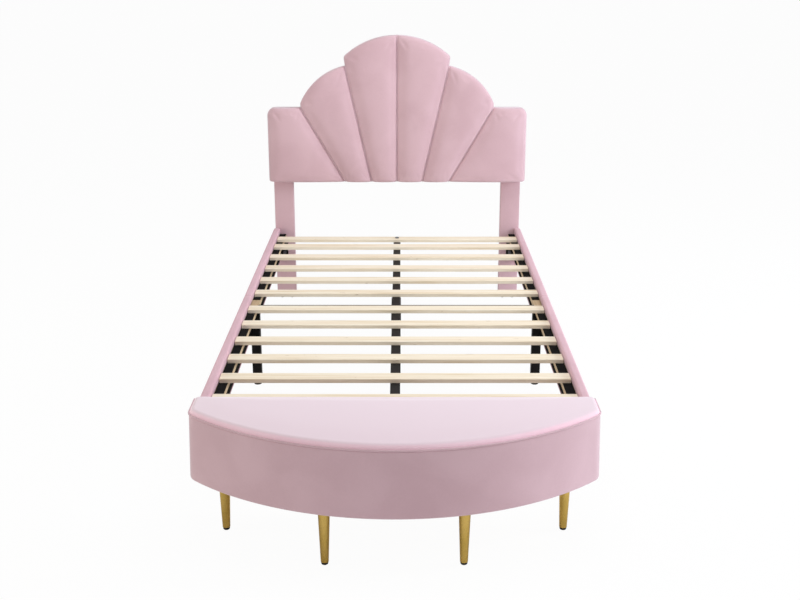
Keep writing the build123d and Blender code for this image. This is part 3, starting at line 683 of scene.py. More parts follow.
def inflate(piece, free, cap):
    """Run the cloth from its first frame to its last, pinned where points are hardly free.

    Each move is capped at cap * tanh(move / cap) and multiplied by how free its point is, so that
    the fabric stays smooth and tight where it is sewn.
    """
    rest = np.empty(len(piece.data.vertices) * 3)
    piece.data.vertices.foreach_get("co", rest)
    rest = rest.reshape(-1, 3)
    group = piece.vertex_groups.new(name="seams")
    group.add(np.flatnonzero(free < PINNED_BELOW).tolist(), 1.0, "REPLACE")
    cloth = piece.modifiers.new("cloth", "CLOTH")
    cloth.settings.vertex_group_mass = "seams"
    cloth.settings.effector_weights.gravity = 0
    cloth.settings.use_pressure = True
    cloth.settings.uniform_pressure_force = CLOTH_PRESSURE
    cloth.settings.quality = CLOTH_QUALITY
    cloth.point_cache.frame_start = 1
    cloth.point_cache.frame_end = CLOTH_FRAMES
    cloth.collision_settings.use_collision = False
    for step in range(1, CLOTH_FRAMES + 1):
        scene.frame_set(step)
    blown = piece.evaluated_get(bpy.context.evaluated_depsgraph_get())
    moved = np.empty(len(rest) * 3)
    blown.data.vertices.foreach_get("co", moved)
    move = moved.reshape(-1, 3) - rest
    size = np.linalg.norm(move, axis=1, keepdims=True)
    capped = move * (free[:, None] * cap * np.tanh(size / cap) / np.maximum(size, 1e-9))
    piece.modifiers.remove(cloth)
    piece.vertex_groups.remove(group)
    piece.data.vertices.foreach_set("co", (rest + capped).ravel())
    piece.data.update()
    scene.frame_set(1)
    print(piece.name, "bulged by up to", round(float(size.max()) / MM, 1), "mm before the cap")


print("cloth runs", CLOTH_FRAMES, "frames, quick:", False)

# %% [markdown]
# ## The headboard's outline
# The headboard is a shell: six pads fan out from the bottom edge between five seams, and each lobe
# steps up from the last. The seams are straight lines, so their two ends are enough, and these are
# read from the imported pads' boxes. What a box can't say, such as the radius of a lobe, is a named
# size. Each pad is bounded by four curves, of which the outer ones turn a corner half way.

# %% Outline of the headboard
OUTER_LOBE_STEP = 18 * MM
OUTER_LOBE_RADIUS = 257 * MM
MIDDLE_LOBE_RADIUS = 320 * MM
MIDDLE_LOBE_CORNER = 13 * MM
MIDDLE_LOBE_FLARE = 4 * MM
SHOULDER_RADIUS = 32 * MM
LOWER_CORNER = 5 * MM

pad_4_low, pad_4_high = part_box("headboard_channel_4")
pad_5_low, pad_5_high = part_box("headboard_channel_5")
pad_6_low, pad_6_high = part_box("headboard_channel_6")
PANEL_BOTTOM = pad_4_low.z
PANEL_FRONT = pad_4_low.y
PANEL_BACK = pad_4_high.y
PEAK = np.array([0.0, pad_4_high.z])
CENTRE_FOOT = np.array([0.0, PANEL_BOTTOM])
INNER_FOOT = np.array([pad_5_low.x, PANEL_BOTTOM])
INNER_TOP = np.array([pad_4_high.x, pad_5_high.z])
OUTER_FOOT = np.array([pad_6_low.x, PANEL_BOTTOM])
OUTER_TOP = np.array([pad_5_high.x, pad_6_high.z])
HALF_WIDTH = pad_6_high.x
OUTLINE_STEPS = 60


def arc_between(start, end, radius):
    """The arc through two points that bulges to the right of the way from one to the other."""
    chord = end - start
    half = np.linalg.norm(chord) / 2
    side = np.array([-chord[1], chord[0]]) / (2 * half)
    centre = (start + end) / 2 + side * math.sqrt(radius**2 - half**2)
    first = math.atan2(*(start - centre)[::-1])
    last = math.atan2(*(end - centre)[::-1])
    return arc(centre, radius, first, last, OUTLINE_STEPS)


def middle_lobe():
    """The high lobe from its side's corner to the peak, as side-and-corner and top halves.

    The lobe flares a little from the seam's top. Its corner is an arc that touches the big arc
    from inside: its centre is one corner radius short of the big radius from the big arc's centre.
    The side runs from the seam's top to touch the corner, at the angle whose cosine is the
    corner radius over the distance between them, back from the direction of the seam's top.
    """
    big_centre = np.array([0.0, PEAK[1] - MIDDLE_LOBE_RADIUS])
    reach = MIDDLE_LOBE_RADIUS - MIDDLE_LOBE_CORNER
    corner_x = INNER_TOP[0] + MIDDLE_LOBE_FLARE - MIDDLE_LOBE_CORNER
    corner_rise = math.sqrt(reach**2 - corner_x**2)
    corner_centre = big_centre + np.array([corner_x, corner_rise])
    lean = math.atan2(corner_rise, corner_x)
    to_top = INNER_TOP - corner_centre
    open_angle = math.acos(MIDDLE_LOBE_CORNER / np.linalg.norm(to_top))
    start = math.atan2(to_top[1], to_top[0]) + open_angle
    half_turn = (start + lean) / 2
    lower = arc(corner_centre, MIDDLE_LOBE_CORNER, start, half_turn, OUTLINE_STEPS // 4)
    upper = arc(corner_centre, MIDDLE_LOBE_CORNER, half_turn, lean, OUTLINE_STEPS // 4)
    top = arc(big_centre, MIDDLE_LOBE_RADIUS, lean, math.pi / 2, OUTLINE_STEPS)
    return lower, np.concatenate([upper, top[1:]])


def rounded_corner(corner, radius, sign):
    """A quarter arc at the panel's outer edge as two halves, with sign 1 above and -1 below."""
    centre = corner - np.array([radius, sign * radius])
    side_half = arc(centre, radius, 0, sign * math.pi / 4, OUTLINE_STEPS // 4)
    edge_half = arc(centre, radius, sign * math.pi / 4, sign * math.pi / 2, OUTLINE_STEPS // 4)
    return side_half, edge_half


lobe_side, lobe_top = middle_lobe()
outer_lobe = arc_between(OUTER_TOP + np.array([0, OUTER_LOBE_STEP]), INNER_TOP, OUTER_LOBE_RADIUS)
shoulder_side, shoulder_top = rounded_corner(
    np.array([HALF_WIDTH, OUTER_TOP[1]]), SHOULDER_RADIUS, 1
)
lower_side, lower_edge = rounded_corner(np.array([HALF_WIDTH, PANEL_BOTTOM]), LOWER_CORNER, -1)

# Each pad: its bottom and top from the inner seam outwards, its inner and outer side upwards
PAD_SIDES = {
    3: (
        np.array([CENTRE_FOOT, INNER_FOOT]),
        lobe_top[::-1],
        np.array([CENTRE_FOOT, PEAK]),
        np.concatenate([[INNER_FOOT, INNER_TOP], lobe_side]),
    ),
    2: (
        np.array([INNER_FOOT, OUTER_FOOT]),
        outer_lobe[::-1],
        np.array([INNER_FOOT, INNER_TOP]),
        np.array([OUTER_FOOT, OUTER_TOP, outer_lobe[0]]),
    ),
    1: (
        np.concatenate([[OUTER_FOOT], lower_edge[::-1]]),
        np.concatenate([[OUTER_TOP], shoulder_top[::-1]]),
        np.array([OUTER_FOOT, OUTER_TOP]),
        np.concatenate([lower_side[::-1], shoulder_side]),
    ),
}
PAD_SEAMS = {
    3: (np.array([CENTRE_FOOT, PEAK]), np.array([INNER_FOOT, INNER_TOP])),
    2: (np.array([INNER_FOOT, INNER_TOP]), np.array([OUTER_FOOT, OUTER_TOP])),
    1: (np.array([OUTER_FOOT, OUTER_TOP]), None),
}
print("seam feet at", INNER_FOOT, OUTER_FOOT, "tops at", INNER_TOP, OUTER_TOP)

# %% [markdown]
# ## One channel pad
# A pad's grid comes from its four sides: each inner point is the sum of what the two pairs of
# opposite sides say, less what their corners say twice, which is called a Coons patch. How far the
# fabric stands out there depends on three things: the crown, which is highest half way between the
# seams, the tight roll into a seam, and the fuller roll over the panel's edge. Across a channel
# the crown is nearly half an ellipse, so that its flanks are steep and catch the light. Behind,
# the fabric goes straight back to the panel's back, and the pad is a closed form.

# %% Pads
PAD_COLUMNS = 46
PAD_ROWS = 92
PAD_CROWN = 18 * MM
CROWN_POWER = 0.55
SEAM_ROLL_RUN = 10 * MM
SEAM_ROLL_DEPTH = 15 * MM
EDGE_ROLL_RUN = 24 * MM
EDGE_ROLL_DEPTH = 16 * MM
BOTTOM_ROLL_RUN = 13 * MM
BOTTOM_ROLL_DEPTH = 8 * MM
SEAM_CLEARANCE = 0.4 * MM
PAD_SIDE_STEPS = 5
PAD_BULGE_CAP = 3 * MM
PAD_BULGE_EASE = 30 * MM


def coons(bottom, top, inner, outer, columns, rows):
    """The grid between four curves: side pair + end pair - the bilinear patch of the corners."""
    s = dense_ends(columns)[None, :, None]
    t = dense_ends(rows)[:, None, None]
    low = along(bottom, s[0, :, 0])[None]
    high = along(top, s[0, :, 0])[None]
    near = along(inner, t[:, 0, 0])[:, None]
    far = along(outer, t[:, 0, 0])[:, None]
    corners = (
        (1 - s) * (1 - t) * low[:, :1] + s * (1 - t) * low[:, -1:]
        + (1 - s) * t * high[:, :1] + s * t * high[:, -1:]
    )
    return (1 - t) * low + t * high + (1 - s) * near + s * far - corners


def pad_depth(plane, sides, seams):
    """How far each point lies back of the crest: crown + roll into seams + roll over the edge."""
    bottom, top, inner, outer = sides
    near = distance_to(plane, inner)
    far = distance_to(plane, outer)
    between = 4 * near * far / np.maximum((near + far) ** 2, 1e-9)
    crown = PAD_CROWN * (1 - between**CROWN_POWER)
    seam = np.minimum.reduce([distance_to(plane, line) for line in seams if line is not None])
    free_side = outer if seams[1] is None else outer[1:]
    edge = np.minimum(distance_to(plane, top), distance_to(plane, free_side))
    low = distance_to(plane, bottom)
    return (
        crown
        + roll(seam, SEAM_ROLL_RUN, SEAM_ROLL_DEPTH)
        + roll(edge, EDGE_ROLL_RUN, EDGE_ROLL_DEPTH)
        + roll(low, BOTTOM_ROLL_RUN, BOTTOM_ROLL_DEPTH)
    )


def make_pad(number, mirror):
    """One channel as a closed piece: front grid, straight sides and the same grid as its back."""
    sides = PAD_SIDES[number]
    plane = coons(*sides, PAD_COLUMNS, PAD_ROWS)
    inward = plane.mean(axis=(0, 1)) - plane
    inward /= np.linalg.norm(inward, axis=-1, keepdims=True)
    seam = np.minimum.reduce(
        [distance_to(plane, line) for line in PAD_SEAMS[number] if line is not None]
    )
    clearance = SEAM_CLEARANCE * np.clip(1 - seam / SEAM_ROLL_RUN, 0, 1)
    plane_in = plane + inward * clearance[..., None]
    front_y = PANEL_FRONT + pad_depth(plane, sides, PAD_SEAMS[number])
    front = np.stack([plane_in[..., 0], front_y, plane_in[..., 1]], axis=-1)
    back = front.copy()
    back[..., 1] = PANEL_BACK - SEAM_CLEARANCE

    points, faces = closed_form(front, back, PAD_SIDE_STEPS)
    border = np.minimum.reduce([distance_to(plane, line) for line in sides])
    free = np.zeros(len(points))
    free[:border.size] = smooth_step(border.ravel() / PAD_BULGE_EASE)
    node = f"headboard_channel_{7 - number}"
    if mirror:
        points[:, 0] *= -1
        faces = faces[:, ::-1]
        node = f"headboard_channel_{number}"
    pad = build_piece(f"{node}_padded", points, faces, velvet)
    inflate(pad, free, PAD_BULGE_CAP)
    make_finer(pad)
    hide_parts(node)
    return pad


pads = [make_pad(number, mirror) for number in (1, 2, 3) for mirror in (True, False)]
print("pads:", [pad.name for pad in pads])

# %% [markdown]
# ## Piping in the seams
# In each seam lies a thin velvet-covered cord that turns over the panel's top and bottom edge. It
# could be a curve with a bevel, but here it is worked out: a circle carried along a path, and the
# path is the seam's line set back to where a cord of that size rests between the two rolls.

# %% Piping
PIPING_RADIUS = 2.1 * MM
PIPING_DEPTH = 4.4 * MM
PIPING_STEPS = 70
PIPING_SIDES = 12
STEEP_RUN = 0.9


def tube_along(path, radius, sides):
    """Circles square to a path: centre + radius * (cos * side + sin * up), from the path's run."""
    run = np.gradient(path, axis=0)
    run /= np.linalg.norm(run, axis=1, keepdims=True)
    lead = np.broadcast_to([0.0, -1.0, 0.0], run.shape).copy()
    lead[np.abs(run[:, 1]) > STEEP_RUN] = [0.0, 0.0, 1.0]
    side = np.cross(run, lead)
    side /= np.linalg.norm(side, axis=1, keepdims=True)
    up = np.cross(side, run)
    turn = np.linspace(0, 2 * np.pi, sides, endpoint=False)[None, :, None]
    return path[:, None] + radius * (np.cos(turn) * side[:, None] + np.sin(turn) * up[:, None])


def piping_path(foot, top):
    """The seam's line, set back by crown and nest, and by the panel's edge roll at both ends."""
    share = dense_ends(PIPING_STEPS)
    line = foot + (top - foot) * share[:, None]
    length = np.linalg.norm(top - foot)
    over_bottom = roll(share * length, BOTTOM_ROLL_RUN, BOTTOM_ROLL_DEPTH)
    over_top = roll((1 - share) * length, EDGE_ROLL_RUN, EDGE_ROLL_DEPTH)
    back = PANEL_FRONT + PAD_CROWN + PIPING_DEPTH + over_bottom + over_top
    return np.stack([line[:, 0], back, line[:, 1]], axis=-1)


piping_rings = []
for foot, top in ((CENTRE_FOOT, PEAK), (INNER_FOOT, INNER_TOP), (OUTER_FOOT, OUTER_TOP)):
    path = piping_path(foot, top)
    for side in (1, -1) if foot[0] > 0 else (1,):
        turned = path * np.array([side, 1, 1])
        piping_rings.append(tube_along(turned, PIPING_RADIUS, PIPING_SIDES))

points = np.concatenate([rings.reshape(-1, 3) for rings in piping_rings])
faces = []
for order in range(len(piping_rings)):
    faces += tube_faces(PIPING_STEPS, PIPING_SIDES, first=order * PIPING_STEPS * PIPING_SIDES)
piping = build_piece("seam_piping", points, faces, velvet_cord)
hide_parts("headboard_piping")
print("piping cords:", len(piping_rings))

# %% [markdown]
# ## Posts
# Two boards wrapped in the same velvet carry the headboard. Fabric pulled round a board softens
# its edges, so the section is a rectangle with rounded corners, carried up the post, and drawn in
# over a small roll at both ends.

# %% Posts
POST_CORNER = 4 * MM
POST_ROWS = 40
LEAST_RADIUS = 0.3 * MM
ROLL_STEPS = 5
CORNER_STEPS = 5


def rounded_section(low, high, radius, inset):
    """A rounded rectangle as a closed line: four quarter arcs about points set in by the radius."""
    low = np.asarray(low) + inset
    high = np.asarray(high) - inset
    radius = max(radius - inset, LEAST_RADIUS)
    centres = (
        (high[0] - radius, high[1] - radius, 0),
        (low[0] + radius, high[1] - radius, 1),
        (low[0] + radius, low[1] + radius, 2),
        (high[0] - radius, low[1] + radius, 3),
    )
    quarter = math.pi / 2
    return np.concatenate([
        arc((x, y), radius, turn * quarter, (turn + 1) * quarter, CORNER_STEPS)
        for x, y, turn in centres
    ])


def end_rolls(low, high, radius, inner_steps):
    """Places from low to high with the inset there: quarter rolls at both ends, none between."""
    turn = np.linspace(0, math.pi / 2, ROLL_STEPS)
    rise = radius * (1 - np.cos(turn))
    inset = radius * (1 - np.sin(turn))
    middle = np.linspace(low + radius, high - radius, inner_steps)[1:-1]
    places = np.concatenate([low + rise, middle, high - rise[::-1]])
    insets = np.concatenate([inset, np.zeros(len(middle)), inset[::-1]])
    return places, insets


for side in ("left", "right"):
    low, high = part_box(f"post_{side}")
    heights, insets = end_rolls(low.z, high.z, POST_CORNER, POST_ROWS)
    rings = np.zeros((len(heights), 4 * CORNER_STEPS, 3))
    rings[..., :2] = [
        rounded_section((low.x, low.y), (high.x, high.y), POST_CORNER, inset) for inset in insets
    ]
    rings[..., 2] = heights[:, None]
    post = capped_tube(f"post_{side}_velvet", rings, velvet)
    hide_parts(f"post_{side}")
print("posts wrapped")

# %% [markdown]
# ## Side rails
# Each side rail is two boards end to end, wrapped in padded velvet that turns over the top and
# bottom edge and ends in a lip on the inner face, where the black lining starts. The profile is a
# closed line: outer skin, round both edges, and back along the inside. It is carried along the
# rail, and foam under the fabric makes its faces swell a little between the ends.

# %% Rails
RAIL_CORNER = 6 * MM
RAIL_FOAM = 3 * MM
RAIL_LIP = 23 * MM
RAIL_LOW_LIP = 7 * MM
RAIL_SWELL = 1.2 * MM
RAIL_SWELL_POWER = 0.3
RAIL_END_ROLL = 5 * MM
RAIL_END_SHARE = 0.6
RAIL_ROWS = 60
RAIL_SKIN_POINTS = 70


def rail_profile(low, high):
    """Closed C in X and Z for a right-hand rail: outside skin from lip to lip, then the inside."""
    inner, outer, bottom, top = low[0], high[0], low[2], high[2]
    quarter = math.pi / 2
    r = RAIL_CORNER
    skin = np.concatenate([
        [[inner, bottom + RAIL_LOW_LIP]],
        arc((inner + r, bottom + r), r, 2 * quarter, 3 * quarter, CORNER_STEPS),
        arc((outer - r, bottom + r), r, 3 * quarter, 4 * quarter, CORNER_STEPS),
        arc((outer - r, top - r), r, 0, quarter, CORNER_STEPS),
        arc((inner + r, top - r), r, quarter, 2 * quarter, CORNER_STEPS),
        [[inner, top - RAIL_LIP]],
    ])
    f = RAIL_FOAM
    inside = np.array([
        [inner + f, top - RAIL_LIP], [inner + f, top - f], [outer - f, top - f],
        [outer - f, bottom + f], [inner + f, bottom + f], [inner + f, bottom + RAIL_LOW_LIP],
    ])
    return skin, inside


def make_rail(node, side):
    """The C carried along Y, drawn in at both ends and swollen between by a sine of its length."""
    low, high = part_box(node)
    near, far = sorted((abs(low.x), abs(high.x)))
    skin, inside = rail_profile((near, 0, low.z), (far, 0, high.z))
    fine = along(skin, np.linspace(0, 1, RAIL_SKIN_POINTS))
    places, insets = end_rolls(low.y, high.y, RAIL_END_ROLL, RAIL_ROWS)
    middle = np.array([(near + far) / 2, (low.z + high.z) / 2])
    half = np.array([(far - near) / 2, (high.z - low.z) / 2])
    share = (fine - middle) / half
    swell = RAIL_SWELL * np.sin(np.pi * (places - low.y) / (high.y - low.y)) ** RAIL_SWELL_POWER
    across = np.sqrt(np.clip(1 - share[:, 1] ** 2, 0, 1)) * (share[:, 0] > 0)
    drawn_in = RAIL_END_SHARE * insets[:, None]
    rings = np.zeros((len(places), len(fine) + len(inside), 3))
    rings[:, :len(fine), 0] = fine[None, :, 0] - np.sign(share[None, :, 0]) * drawn_in
    rings[:, :len(fine), 0] += swell[:, None] * across[None]
    rings[:, :len(fine), 2] = fine[None, :, 1] - share[None, :, 1] * drawn_in
    rings[:, len(fine):, 0] = inside[None, :, 0]
    rings[:, len(fine):, 2] = inside[None, :, 1]
    rings[..., 1] = places[:, None]
    rings = rings[:, ::-1] if side > 0 else rings * np.array([-1, 1, 1])
    rail = capped_tube(f"{node}_velvet", rings, rail_velvet)
    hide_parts(node)


for side_name, side in (("left", -1), ("right", 1)):
    for end_name in ("foot", "head"):
        make_rail(f"rail_cover_{side_name}_{end_name}", side)
print("rails wrapped")

# %% [markdown]
# ## The foot bench
# Seen from above the bench is a straight back, two short sides and one large arc, joined by
# rounded corners. All its soft pieces follow that plan, drawn in by an inset. The seam lies a
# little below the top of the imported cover, because the cushion's roll hides the cover's edge.

# %% Plan of the bench
BENCH_BOW = 224.6 * MM
BENCH_CORNER = 50 * MM
cover_low, cover_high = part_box("bench_side_cover")
BENCH_HALF = cover_high.x
BENCH_BACK = cover_high.y
BENCH_FRONT = cover_low.y
BENCH_BOTTOM = cover_low.z
SEAM_DROP = 5 * MM
BENCH_SEAM = cover_high.z - SEAM_DROP
BENCH_RADIUS = (BENCH_HALF**2 + BENCH_BOW**2) / (2 * BENCH_BOW)
ARC_CENTRE_Y = BENCH_FRONT + BENCH_RADIUS


def corner_circle(inset):
    """Centre and radius of the corner arc that touches the side and the front arc from inside."""
    radius = BENCH_CORNER - min(inset, BENCH_CORNER / 2)
    reach = BENCH_RADIUS - inset - radius
    x = BENCH_HALF - inset - radius
    return x, ARC_CENTRE_Y - math.sqrt(reach**2 - x**2), radius


def front_and_sides(inset, count):
    """The plan's open line from the right back corner, round the front, to the left back corner."""
    x, y, radius = corner_circle(inset)
    lean = math.atan2(y - ARC_CENTRE_Y, x)
    right = arc((x, y), radius, 0, lean, count // 6)
    front = arc((0, ARC_CENTRE_Y), BENCH_RADIUS - inset, lean, -math.pi - lean, count)
    left = right[::-1] * np.array([-1, 1])
    back_right = [[BENCH_HALF - inset, BENCH_BACK]]
    back_left = [[inset - BENCH_HALF, BENCH_BACK]]
    return np.concatenate([back_right, right, front[1:-1], left, back_left])


def front_y(x, inset):
    """The plan's front at each x: the big arc, or the corner arc where it takes over."""
    corner_x, corner_y, radius = corner_circle(inset)
    touch = abs(corner_x + radius * math.cos(math.atan2(corner_y - ARC_CENTRE_Y, corner_x)))
    big = ARC_CENTRE_Y - np.sqrt((BENCH_RADIUS - inset) ** 2 - np.minimum(np.abs(x), touch) ** 2)
    beyond = np.clip(np.abs(x) - corner_x, 0, radius)
    small = corner_y - np.sqrt(np.maximum(radius**2 - beyond**2, 0))
    return np.where(np.abs(x) <= touch, big, small)


print("bench front radius", round(BENCH_RADIUS / MM), "mm, half width", round(BENCH_HALF / MM))

# %% [markdown]
# ## The bench's wall
# The velvet round the wall is a closed profile carried round the plan. Below, a hem is rolled
# under and sags a little. Above, the cloth rolls into the seam. Between them the wall leans by a
# few millimetres, because the hem is pulled over the edge of the bottom board.

# %% Wall of the bench
HEM_ROLL = 5 * MM
HEM_SAG = 3 * MM
SEAM_ROLL = 5 * MM
WALL_THICK = 5 * MM
WALL_TOP_INSET = 3 * MM
WALL_LEAN = 5 * MM
WALL_POINTS = 36
WALL_ROLL_STEPS = 8
PLAN_POINTS = 150


def wall_profile():
    """Inset and height of the wall's outer face from hem to seam: quarter rolls and a slight lean.

    The lean is the share of the wall's height still to go, times a few millimetres outwards.
    """
    turn = np.linspace(0, math.pi / 2, WALL_ROLL_STEPS)
    near = 1 - np.cos(turn)
    far = 1 - np.sin(turn)
    hem = np.stack([HEM_ROLL * far, HEM_ROLL * near - HEM_SAG], axis=-1)
    seam_rise = BENCH_SEAM - BENCH_BOTTOM
    seam = np.stack([SEAM_ROLL * near, seam_rise - SEAM_ROLL * far], axis=-1)
    rise = np.linspace(hem[-1, 1], seam[0, 1], WALL_POINTS)[1:-1]
    face = np.stack([np.zeros(len(rise)), rise], axis=-1)
    profile = np.concatenate([hem, face, seam])
    to_go = 1 - (profile[:, 1] - profile[0, 1]) / (profile[-1, 1] - profile[0, 1])
    profile[:, 0] += WALL_TOP_INSET - WALL_LEAN * to_go
    return profile


def plan_rings(profile):
    """For each point of a profile of inset and height, the closed plan at that inset and height."""
    rings = []
    for inset, height in profile:
        open_line = along(front_and_sides(inset, PLAN_POINTS), np.linspace(0, 1, PLAN_POINTS))
        back_x = np.linspace(open_line[-1, 0], open_line[0, 0], PLAN_POINTS // 3)[1:-1]
        back = np.column_stack([back_x, np.full(len(back_x), BENCH_BACK)])
        loop = np.concatenate([open_line, back])
        on_back = loop[:, 1] >= BENCH_BACK - 1e-9
        loop[on_back, 1] -= max(inset, 0)
        rings.append(np.column_stack([loop, np.full(len(loop), height)]))
    return np.array(rings)


outer = wall_profile()
inner = np.array([
    [WALL_THICK + outer[-1, 0], outer[-1, 1]], [WALL_THICK + HEM_ROLL + outer[0, 0], outer[0, 1]],
])
profile = np.concatenate([outer, inner])
profile[:, 1] += BENCH_BOTTOM
rings = plan_rings(profile)
numbers = np.arange(rings.shape[0] * rings.shape[1]).reshape(rings.shape[:2])
faces = grid_quads(wrapped(wrapped(numbers, 1), 0))[:, ::-1]
bench_wall = build_piece("bench_wall_velvet", rings, faces.tolist(), velvet)
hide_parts("bench_side_cover")
print("bench wall:", rings.shape)

# %% [markdown]
# ## The bench's cushion
# The cushion is sewn to the wall at the seam. From there its fabric rises steeply, rolls over a
# soft edge and is nearly flat on top. Its grid runs across the bench and from the back to the
# front arc. The columns lie closer at the sides, by a sine, because the plan's edge turns upright
# there, and the back corners are drawn in, as a sewn corner is. Below the seam a plug fills the
# wall, so that the cushion is a closed form. The cloth simulation then pushes the top up a little.

# %% Cushion
CUSHION_COLUMNS = 150
CUSHION_ROWS = 60
CUSHION_INSET = 4.5 * MM
CUSHION_BACK_CORNER = 9 * MM
CUSHION_ROLL_RUN = 15 * MM
CUSHION_BACK_ROLL = 24 * MM
CUSHION_CROWN = 3 * MM
CUSHION_CROWN_RUN = 335 * MM
CUSHION_CAP = 2.5 * MM
CUSHION_EASE = 90 * MM
CUSHION_BACK_EASE = 22.5 * MM
CUSHION_ROW_EASE = 0.8
CUSHION_SEAM_POINTS = 240
CUSHION_SIDE_STEPS = 4
CUSHION_PLUG = 14 * MM
CUSHION_PLUG_INSET = 5 * MM
_, pad_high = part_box("bench_pad")
CUSHION_RISE = pad_high.z - BENCH_SEAM - CUSHION_CROWN

s = np.sin(np.pi / 2 * np.linspace(-1, 1, CUSHION_COLUMNS))[None]
t = dense_ends(CUSHION_ROWS, CUSHION_ROW_EASE)[:, None]
x = (BENCH_HALF - CUSHION_INSET) * s
y = BENCH_BACK + t * (front_y(x, CUSHION_INSET) - BENCH_BACK)
x = x - roll(BENCH_BACK - y, CUSHION_BACK_CORNER, CUSHION_BACK_CORNER) * s
plan = np.stack([x, y], axis=-1)
seam_line = front_and_sides(CUSHION_INSET, CUSHION_SEAM_POINTS)
edge = distance_to(plan, seam_line)
behind = distance_to(plan, seam_line[[0, -1]])
level = (1 - roll(edge, CUSHION_ROLL_RUN, 1.0)) * (1 - roll(behind, CUSHION_BACK_ROLL, 1.0))
crown = CUSHION_CROWN * np.sin(np.pi * np.clip(behind / CUSHION_CROWN_RUN, 0, 1)) * (1 - s**2)
height = BENCH_SEAM + (CUSHION_RISE + crown) * level
top = np.concatenate([plan, height[..., None]], axis=-1)
shrink = 1 - CUSHION_PLUG_INSET / BENCH_HALF
bottom = top.copy()
bottom[..., :2] *= shrink
bottom[..., 1] += BENCH_BACK * (1 - shrink) - CUSHION_PLUG_INSET
bottom[..., 2] = BENCH_SEAM - CUSHION_PLUG

points, faces = closed_form(top, bottom, CUSHION_SIDE_STEPS)
cushion = build_piece("bench_cushion", points, faces[:, ::-1], seat_velvet_painted_light)
free = np.zeros(len(points))
easing = np.minimum(edge / CUSHION_EASE, behind / CUSHION_BACK_EASE)
free[:easing.size] = smooth_step(easing.ravel())
inflate(cushion, free, CUSHION_CAP)
make_finer(cushion)
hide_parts("bench_pad")
print("cushion:", cushion.dimensions)

# %% [markdown]
# ## The welt
# A thin velvet cord is sewn into the seam between wall and cushion, round the front and the sides.
# Its rings stand upright all the way, so that the cord doesn't twist at the tight corners.

# %% Welt
WELT_RADIUS = 2.4 * MM
WELT_INSET = 3 * MM
WELT_RISE = 1.6 * MM
WELT_STEPS = 260
WELT_SIDES = 12

welt_line = along(front_and_sides(WELT_INSET, PLAN_POINTS), np.linspace(0, 1, WELT_STEPS))
welt_path = np.column_stack([welt_line, np.full(WELT_STEPS, BENCH_SEAM + WELT_RISE)])
run = np.gradient(welt_path, axis=0)
run /= np.linalg.norm(run, axis=1, keepdims=True)
up = np.broadcast_to([0.0, 0.0, 1.0], run.shape)
side_way = np.cross(run, up)
turn = np.linspace(0, 2 * np.pi, WELT_SIDES, endpoint=False)[None, :, None]
rings = welt_path[:, None] + WELT_RADIUS * (
    np.cos(turn) * side_way[:, None] + np.sin(turn) * up[:, None]
)
welt = capped_tube("bench_seam_welt", rings, velvet)
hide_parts("bench_welt")
welt_length = np.linalg.norm(np.diff(welt_path, axis=0), axis=1).sum()
print("welt length", round(float(welt_length), 2), "m")

# %% [markdown]
# ## Linings and tape
# The inside of each rail board is covered with a strip of black non-woven cloth, stapled flat. It
# is a thin closed slab that is a little slack between its staples, so its face ripples by a few
# tenths of a millimetre. The hook tape on the battens is a flat strap, glued down, with a slightly
# raised woven edge. It stops short of the joint of the two boards. Both are a section in X and Z
# that is carried along the rail, so one function makes them.

# %% Linings and tape
STAPLE_PITCH = 60 * MM
LINING_THICK = 1 * MM
LINING_RIPPLE = 0.25 * MM
LINING_ROWS = 9
STRIP_STEPS = 100
TAPE_WIDTH = 26 * MM
TAPE_END_GAP = 35 * MM
TAPE_EDGE = 2 * MM
TAPE_DIP = 0.3 * MM


def make_strip(name, sections, places, side, material):
    """A section for the right-hand rail carried along Y, mirrored where the side is negative."""
    rings = np.zeros((STRIP_STEPS, sections.shape[-2], 3))
    rings[..., [0, 2]] = sections
    rings[..., 1] = places[:, None]
    if side < 0:
        rings = rings[:, ::-1] * np.array([-1, 1, 1])
    return capped_tube(name, rings, material)


def lining_sections(places, low, high):
    """Front face with its slack at each place, and two straight corners at the board."""
    heights = np.linspace(low.z, high.z, LINING_ROWS)
    slack = np.sin(np.pi * (places - places[0]) / STAPLE_PITCH)[:, None] ** 2
    slack = slack * np.sqrt(np.sin(np.pi * np.linspace(0, 1, LINING_ROWS)))
    sections = np.zeros((len(places), LINING_ROWS + 2, 2))
    sections[:, :LINING_ROWS, 0] = high.x - LINING_THICK + LINING_RIPPLE * slack
    sections[:, :LINING_ROWS, 1] = heights
    sections[:, LINING_ROWS:, 0] = high.x
    sections[:, LINING_ROWS:, 1] = heights[[-1, 0]]
    return sections


def tape_section(low, high):
    """The strap's outline: raised edges, a dip between them and a flat underside."""
    inner = high.x - TAPE_WIDTH
    return np.array([
        [inner, high.z], [inner + TAPE_EDGE, high.z - TAPE_DIP],
        [high.x - TAPE_EDGE, high.z - TAPE_DIP], [high.x, high.z], [high.x, low.z], [inner, low.z],
    ])


lining_low, lining_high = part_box("rail_lining")
tape_low, tape_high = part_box("slat_tape")
linings = []
tapes = []
for side_name, side in (("left", -1), ("right", 1)):
    for end_name in ("foot", "head"):
        board_low, board_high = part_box(f"rail_cover_{side_name}_{end_name}")
        low_y = max(board_low.y, lining_low.y)
        high_y = min(board_high.y, lining_high.y)
        places = np.linspace(low_y, high_y, STRIP_STEPS)
        lining = make_strip(
            f"lining_{side_name}_{end_name}", lining_sections(places, lining_low, lining_high),
            places, side, lining_cloth,
        )
        linings.append(lining)

        low_y = tape_low.y if end_name == "foot" else board_low.y + TAPE_END_GAP
        high_y = board_high.y - TAPE_END_GAP if end_name == "foot" else tape_high.y
        tapes.append(make_strip(
            f"tape_{side_name}_{end_name}", tape_section(tape_low, tape_high),
            np.linspace(low_y, high_y, STRIP_STEPS), side, hook_tape,
        ))
for lining in linings:
    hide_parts("rail_lining")
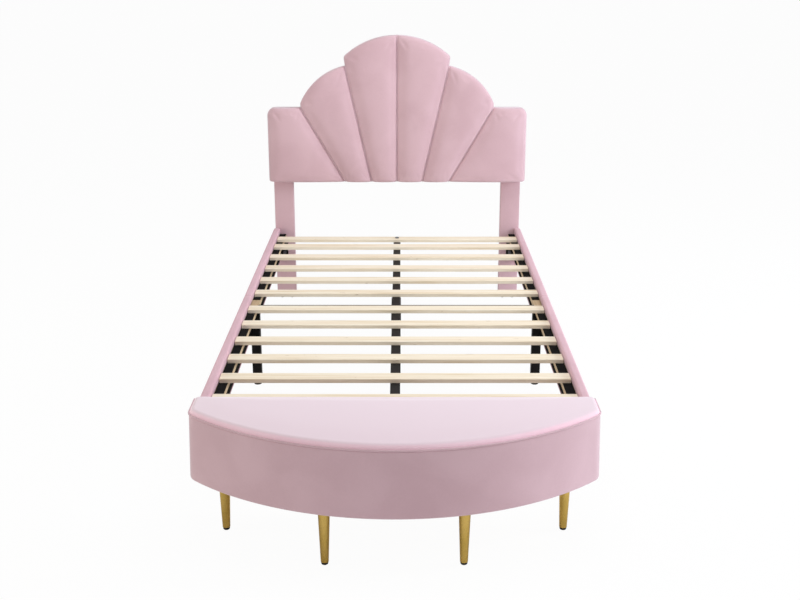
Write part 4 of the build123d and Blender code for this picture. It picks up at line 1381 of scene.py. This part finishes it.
for tape in tapes:
    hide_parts("slat_tape")
print("linings:", len(linings), "tapes:", len(tapes))

# %% [markdown]
# ## Cloth on the headboard's back
# A larger piece of the same cloth, in the shape of the shell, covers the headboard's back. Its
# edge is the outline of the pads, once round, drawn in a little. Rings of that edge, each smaller
# than the last, make its face, and the two rings next to the rim are slack between the staples.

# %% Back cloth
CLOTH_INSET = 3 * MM
BACK_CLOTH_RINGS = (1.0, 0.985, 0.96, 0.9, 0.75, 0.5)
SLACK_FROM = 0.9
LEAST_STEP = 1e-6

right_edge = np.concatenate([
    [CENTRE_FOOT], lower_edge[::-1], lower_side[::-1], shoulder_side, shoulder_top, [OUTER_TOP],
    outer_lobe, lobe_side, lobe_top,
])
outline = np.concatenate([right_edge, right_edge[-2:0:-1] * np.array([-1, 1])])
steps = np.linalg.norm(np.diff(outline, axis=0, append=outline[:1]), axis=1)
outline = outline[steps > LEAST_STEP]
cloth_low, cloth_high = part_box("headboard_back_cloth")
middle = np.array([0.0, (cloth_low.z + cloth_high.z) / 2])
shrink = 1 - CLOTH_INSET / (cloth_high.z - middle[1])
cloth_edge = middle + (outline - middle) * shrink
run_along = np.cumsum(np.linalg.norm(np.diff(cloth_edge, axis=0, prepend=cloth_edge[:1]), axis=1))
rings = []
for share in BACK_CLOTH_RINGS:
    ring = middle + (cloth_edge - middle) * share
    ripple = LINING_RIPPLE if SLACK_FROM < share < 1 else 0.0
    slack = ripple * np.sin(np.pi * run_along / STAPLE_PITCH) ** 2
    rings.append(np.column_stack([ring[:, 0], cloth_high.y - slack, ring[:, 1]]))
front = np.column_stack([cloth_edge[:, 0], np.full(len(cloth_edge), cloth_low.y), cloth_edge[:, 1]])
rings = np.array([front] + rings)
back_cloth = capped_tube("headboard_back_lining", rings, lining_cloth)
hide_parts("headboard_back_cloth")

# %% [markdown]
# ## Sizes
# The dressed bed should be the same size as the imported one, apart from a little that fabric may
# stand proud. The box of the dressed bed is printed.

# %% Print the box of the dressed bed
low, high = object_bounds()
print("visual box", tuple(low), tuple(high))
